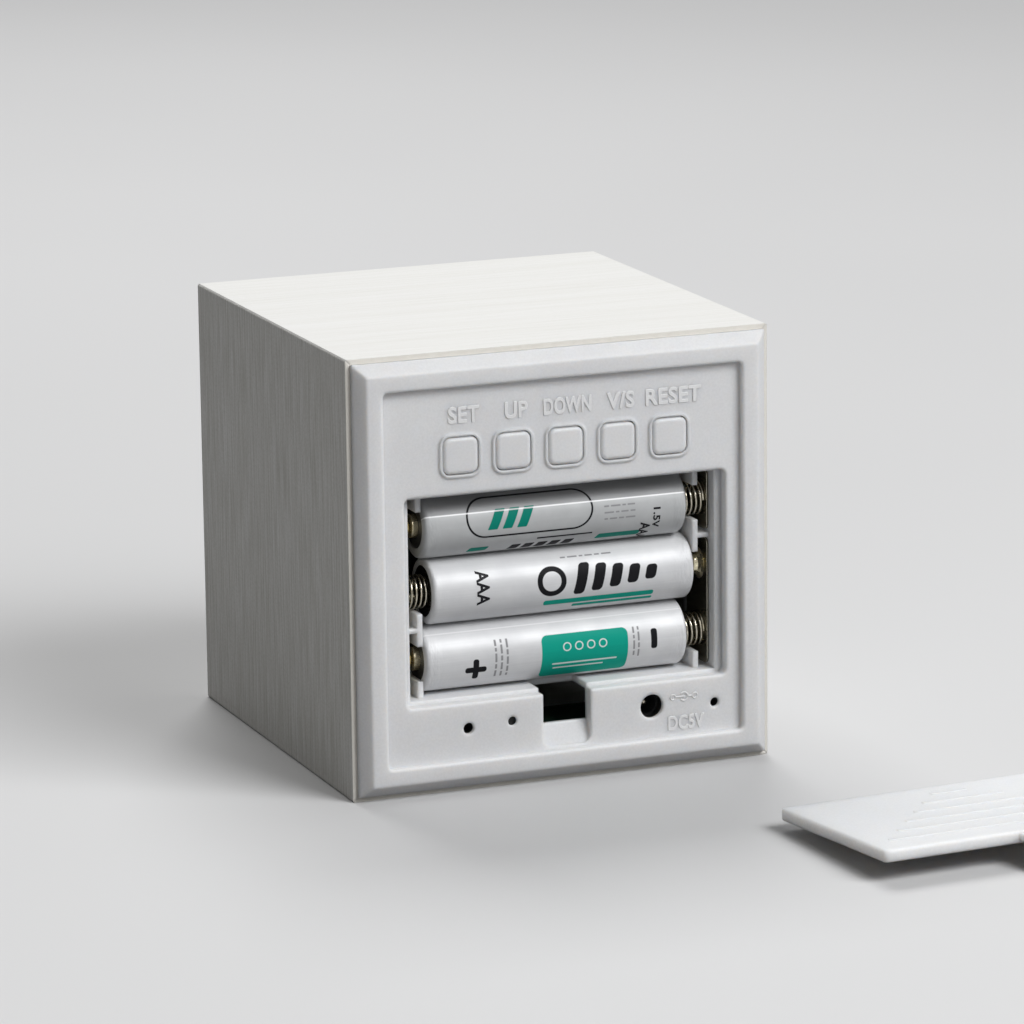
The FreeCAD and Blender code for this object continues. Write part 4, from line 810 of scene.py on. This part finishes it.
# Printed words on the cells, bent round the sleeve: reading direction is down the cell.

def inkMaterial(name, color):
    material, tree = newMaterial(name)
    spot = place(tree)
    grain = ramp(tree, noise(tree, spot, 4200.0, 2.0, 0.6), 0.3, 0.7)
    base = mixColor(tree, grain, tone(*color), tone(*(part * 1.8 + 0.006 for part in color)))
    finishMaterial(tree, {"Base Color": base, "Roughness": 0.42, "Specular IOR Level": 0.08})
    return material


materials["black_ink"] = inkMaterial("black_ink", black)
inkRise = 0.02 * mm
cellWords = {
    "middleCellSize": dict(words="AAA", cell="middle", at=13.4, start=3.6, length=5.6, height=2.1),
    "upperCellVoltage": dict(words="1.5V", cell="upper", at=-16.0, start=0.3, length=3.6, height=1.2),
    "upperCellSize": dict(words="AAA", cell="upper", at=-14.0, start=-2.0, length=4.6, height=1.7),
}
for name, word in cellWords.items():
    mesh = meshOfText(word["words"], depth=0.0, bevel=0.0, swell=0.032)
    shape = bmesh.new()
    shape.from_mesh(mesh)
    bmesh.ops.triangulate(shape, faces=shape.faces)
    bmesh.ops.subdivide_edges(shape, edges=shape.edges, cuts=2, use_grid_fill=True)
    shape.to_mesh(mesh)
    shape.free()
    (xLow, xHigh), (yLow, yHigh) = spans(mesh)[:2]
    yMiddle, zMiddle, radius = cellAxis(word["cell"])
    reach = radius + inkRise
    for vertex in mesh.vertices:
        down = (vertex.co.x - xLow) / (xHigh - xLow) * word["length"] * mm
        rise = (vertex.co.y - yLow) / (yHigh - yLow) * word["height"] * mm
        turn = (word["start"] * mm - down) / radius
        vertex.co = (word["at"] * mm - rise, yMiddle + reach * math.cos(turn),
                     zMiddle + reach * math.sin(turn))
    addPiece(name, mesh, materials["black_ink"], f"{word['cell']}_cell")
print("cell words made")


# Floor, background and lights. Floor and sky are pale to the camera, but throw little light back.

def stageMaterial():
    material, tree = newMaterial("pale_floor")
    spot = place(tree)
    path = put(tree, "LightPath").outputs
    seen = calc(tree, "MAXIMUM", path["Is Camera Ray"],
                calc(tree, "MAXIMUM", path["Is Glossy Ray"], path["Is Transmission Ray"]))
    cloud = ramp(tree, noise(tree, spot, 3.0, 2.0, 0.5), 0.3, 0.7, 0.0, 1.0)
    bright = mixColor(tree, cloud, tone(0.66, 0.66, 0.665), tone(0.63, 0.63, 0.635))
    base = mixColor(tree, seen, tone(0.16, 0.16, 0.165), bright)
    finishMaterial(tree, {"Base Color": base, "Roughness": 0.55, "Specular IOR Level": 0.2})
    return material


floorMesh = bpy.data.meshes.new("floor")
floorHalf = 6
floorCorners = [(x * floorHalf, y * floorHalf, 0) for x, y in ((-1, -1), (1, -1), (1, 1), (-1, 1))]
floorMesh.from_pydata(floorCorners, [], [(0, 1, 2, 3)])
floorMesh.materials.append(stageMaterial())
floor = bpy.data.objects.new("floor", floorMesh)
bpy.context.scene.collection.objects.link(floor)

world = bpy.data.worlds.new("studio")
bpy.context.scene.world = world
world.use_nodes = True
tree = world.node_tree
tree.nodes.clear()
path = put(tree, "LightPath").outputs
seen = calc(tree, "MAXIMUM", path["Is Camera Ray"], path["Is Transmission Ray"])
skyDim = put(tree, "Background", {"Color": tone(1.0, 0.99, 0.955), "Strength": 0.078})
skyShine = put(tree, "Background", {"Color": tone(0.9, 0.9, 0.92), "Strength": 0.42})
skyPale = put(tree, "Background", {"Color": tone(0.8, 0.8, 0.805), "Strength": 0.9})
shined = put(tree, "MixShader", {0: path["Is Glossy Ray"], 1: skyDim.outputs[0],
                                 2: skyShine.outputs[0]})
mixed = put(tree, "MixShader", {0: seen, 1: shined.outputs[0], 2: skyPale.outputs[0]})
tree.links.new(mixed.outputs[0], put(tree, "OutputWorld").inputs[0])

# Soft lamps: over the front, over the rear, a weak one low behind and a weak warm one beside.
lamps = {
    "topLight": dict(spot=(-0.1, -0.75, 1.0), aim=(0, 0, 0.03), size=(0.7, 0.6), power=9.5,
                     color=(1.0, 1.0, 0.995)),
    "rearLight": dict(spot=(-0.5, 0.8, 0.86), aim=(0, 0.03, 0.04), size=(0.7, 0.6), power=13.8,
                      color=(0.99, 0.995, 1.0)),
    "fillLight": dict(spot=(0.62, 1.0, 0.3), aim=(-0.02, 0.03, 0.03), size=(0.6, 0.5), power=1.0,
                      color=(1.0, 0.995, 0.98)),
    "sideLight": dict(spot=(1.1, 0.15, 0.5), aim=(0, 0, 0.03), size=(0.8, 0.5), power=0.2,
                      color=(1.0, 0.97, 0.87)),
}
for name, lamp in lamps.items():
    light = bpy.data.lights.new(name, "AREA")
    light.shape = "RECTANGLE"
    light.size, light.size_y = lamp["size"]
    light.energy = lamp["power"]
    light.color = lamp["color"]
    holder = bpy.data.objects.new(name, light)
    holder.location = lamp["spot"]
    way = Vector(lamp["aim"]) - Vector(lamp["spot"])
    holder.rotation_euler = way.to_track_quat("-Z", "Y").to_euler()
    bpy.context.scene.collection.objects.link(holder)


# Camera fitted to the corners of the case in the photograph

cameraFit = dict(yaw=21.45, pitch=12.86, roll=-0.70, target=(0.0080, 0.0350, 0.0431),
                 away=0.848, lens=194.97)


def addCamera(fit):
    yaw, pitch, roll = (math.radians(fit[part]) for part in ("yaw", "pitch", "roll"))
    level = math.cos(pitch)
    forward = Vector((-math.sin(yaw) * level, -math.cos(yaw) * level, -math.sin(pitch)))
    right = Vector((-math.cos(yaw), math.sin(yaw), 0))
    up = right.cross(forward)
    turnedRight = right * math.cos(roll) + up * math.sin(roll)
    turnedUp = up * math.cos(roll) - right * math.sin(roll)
    lens = bpy.data.cameras.new("camera")
    lens.lens = fit["lens"]
    lens.sensor_width = 36.0
    lens.clip_start = 0.05
    camera = bpy.data.objects.new("camera", lens)
    spot = Vector(fit["target"]) - forward * fit["away"]
    turn = Matrix((turnedRight, turnedUp, -forward)).transposed().to_4x4()
    camera.matrix_world = Matrix.Translation(spot) @ turn
    bpy.context.scene.collection.objects.link(camera)
    bpy.context.scene.camera = camera


addCamera(cameraFit)
bpy.context.scene.view_settings.view_transform = "Standard"
print("stage, lights and camera made")
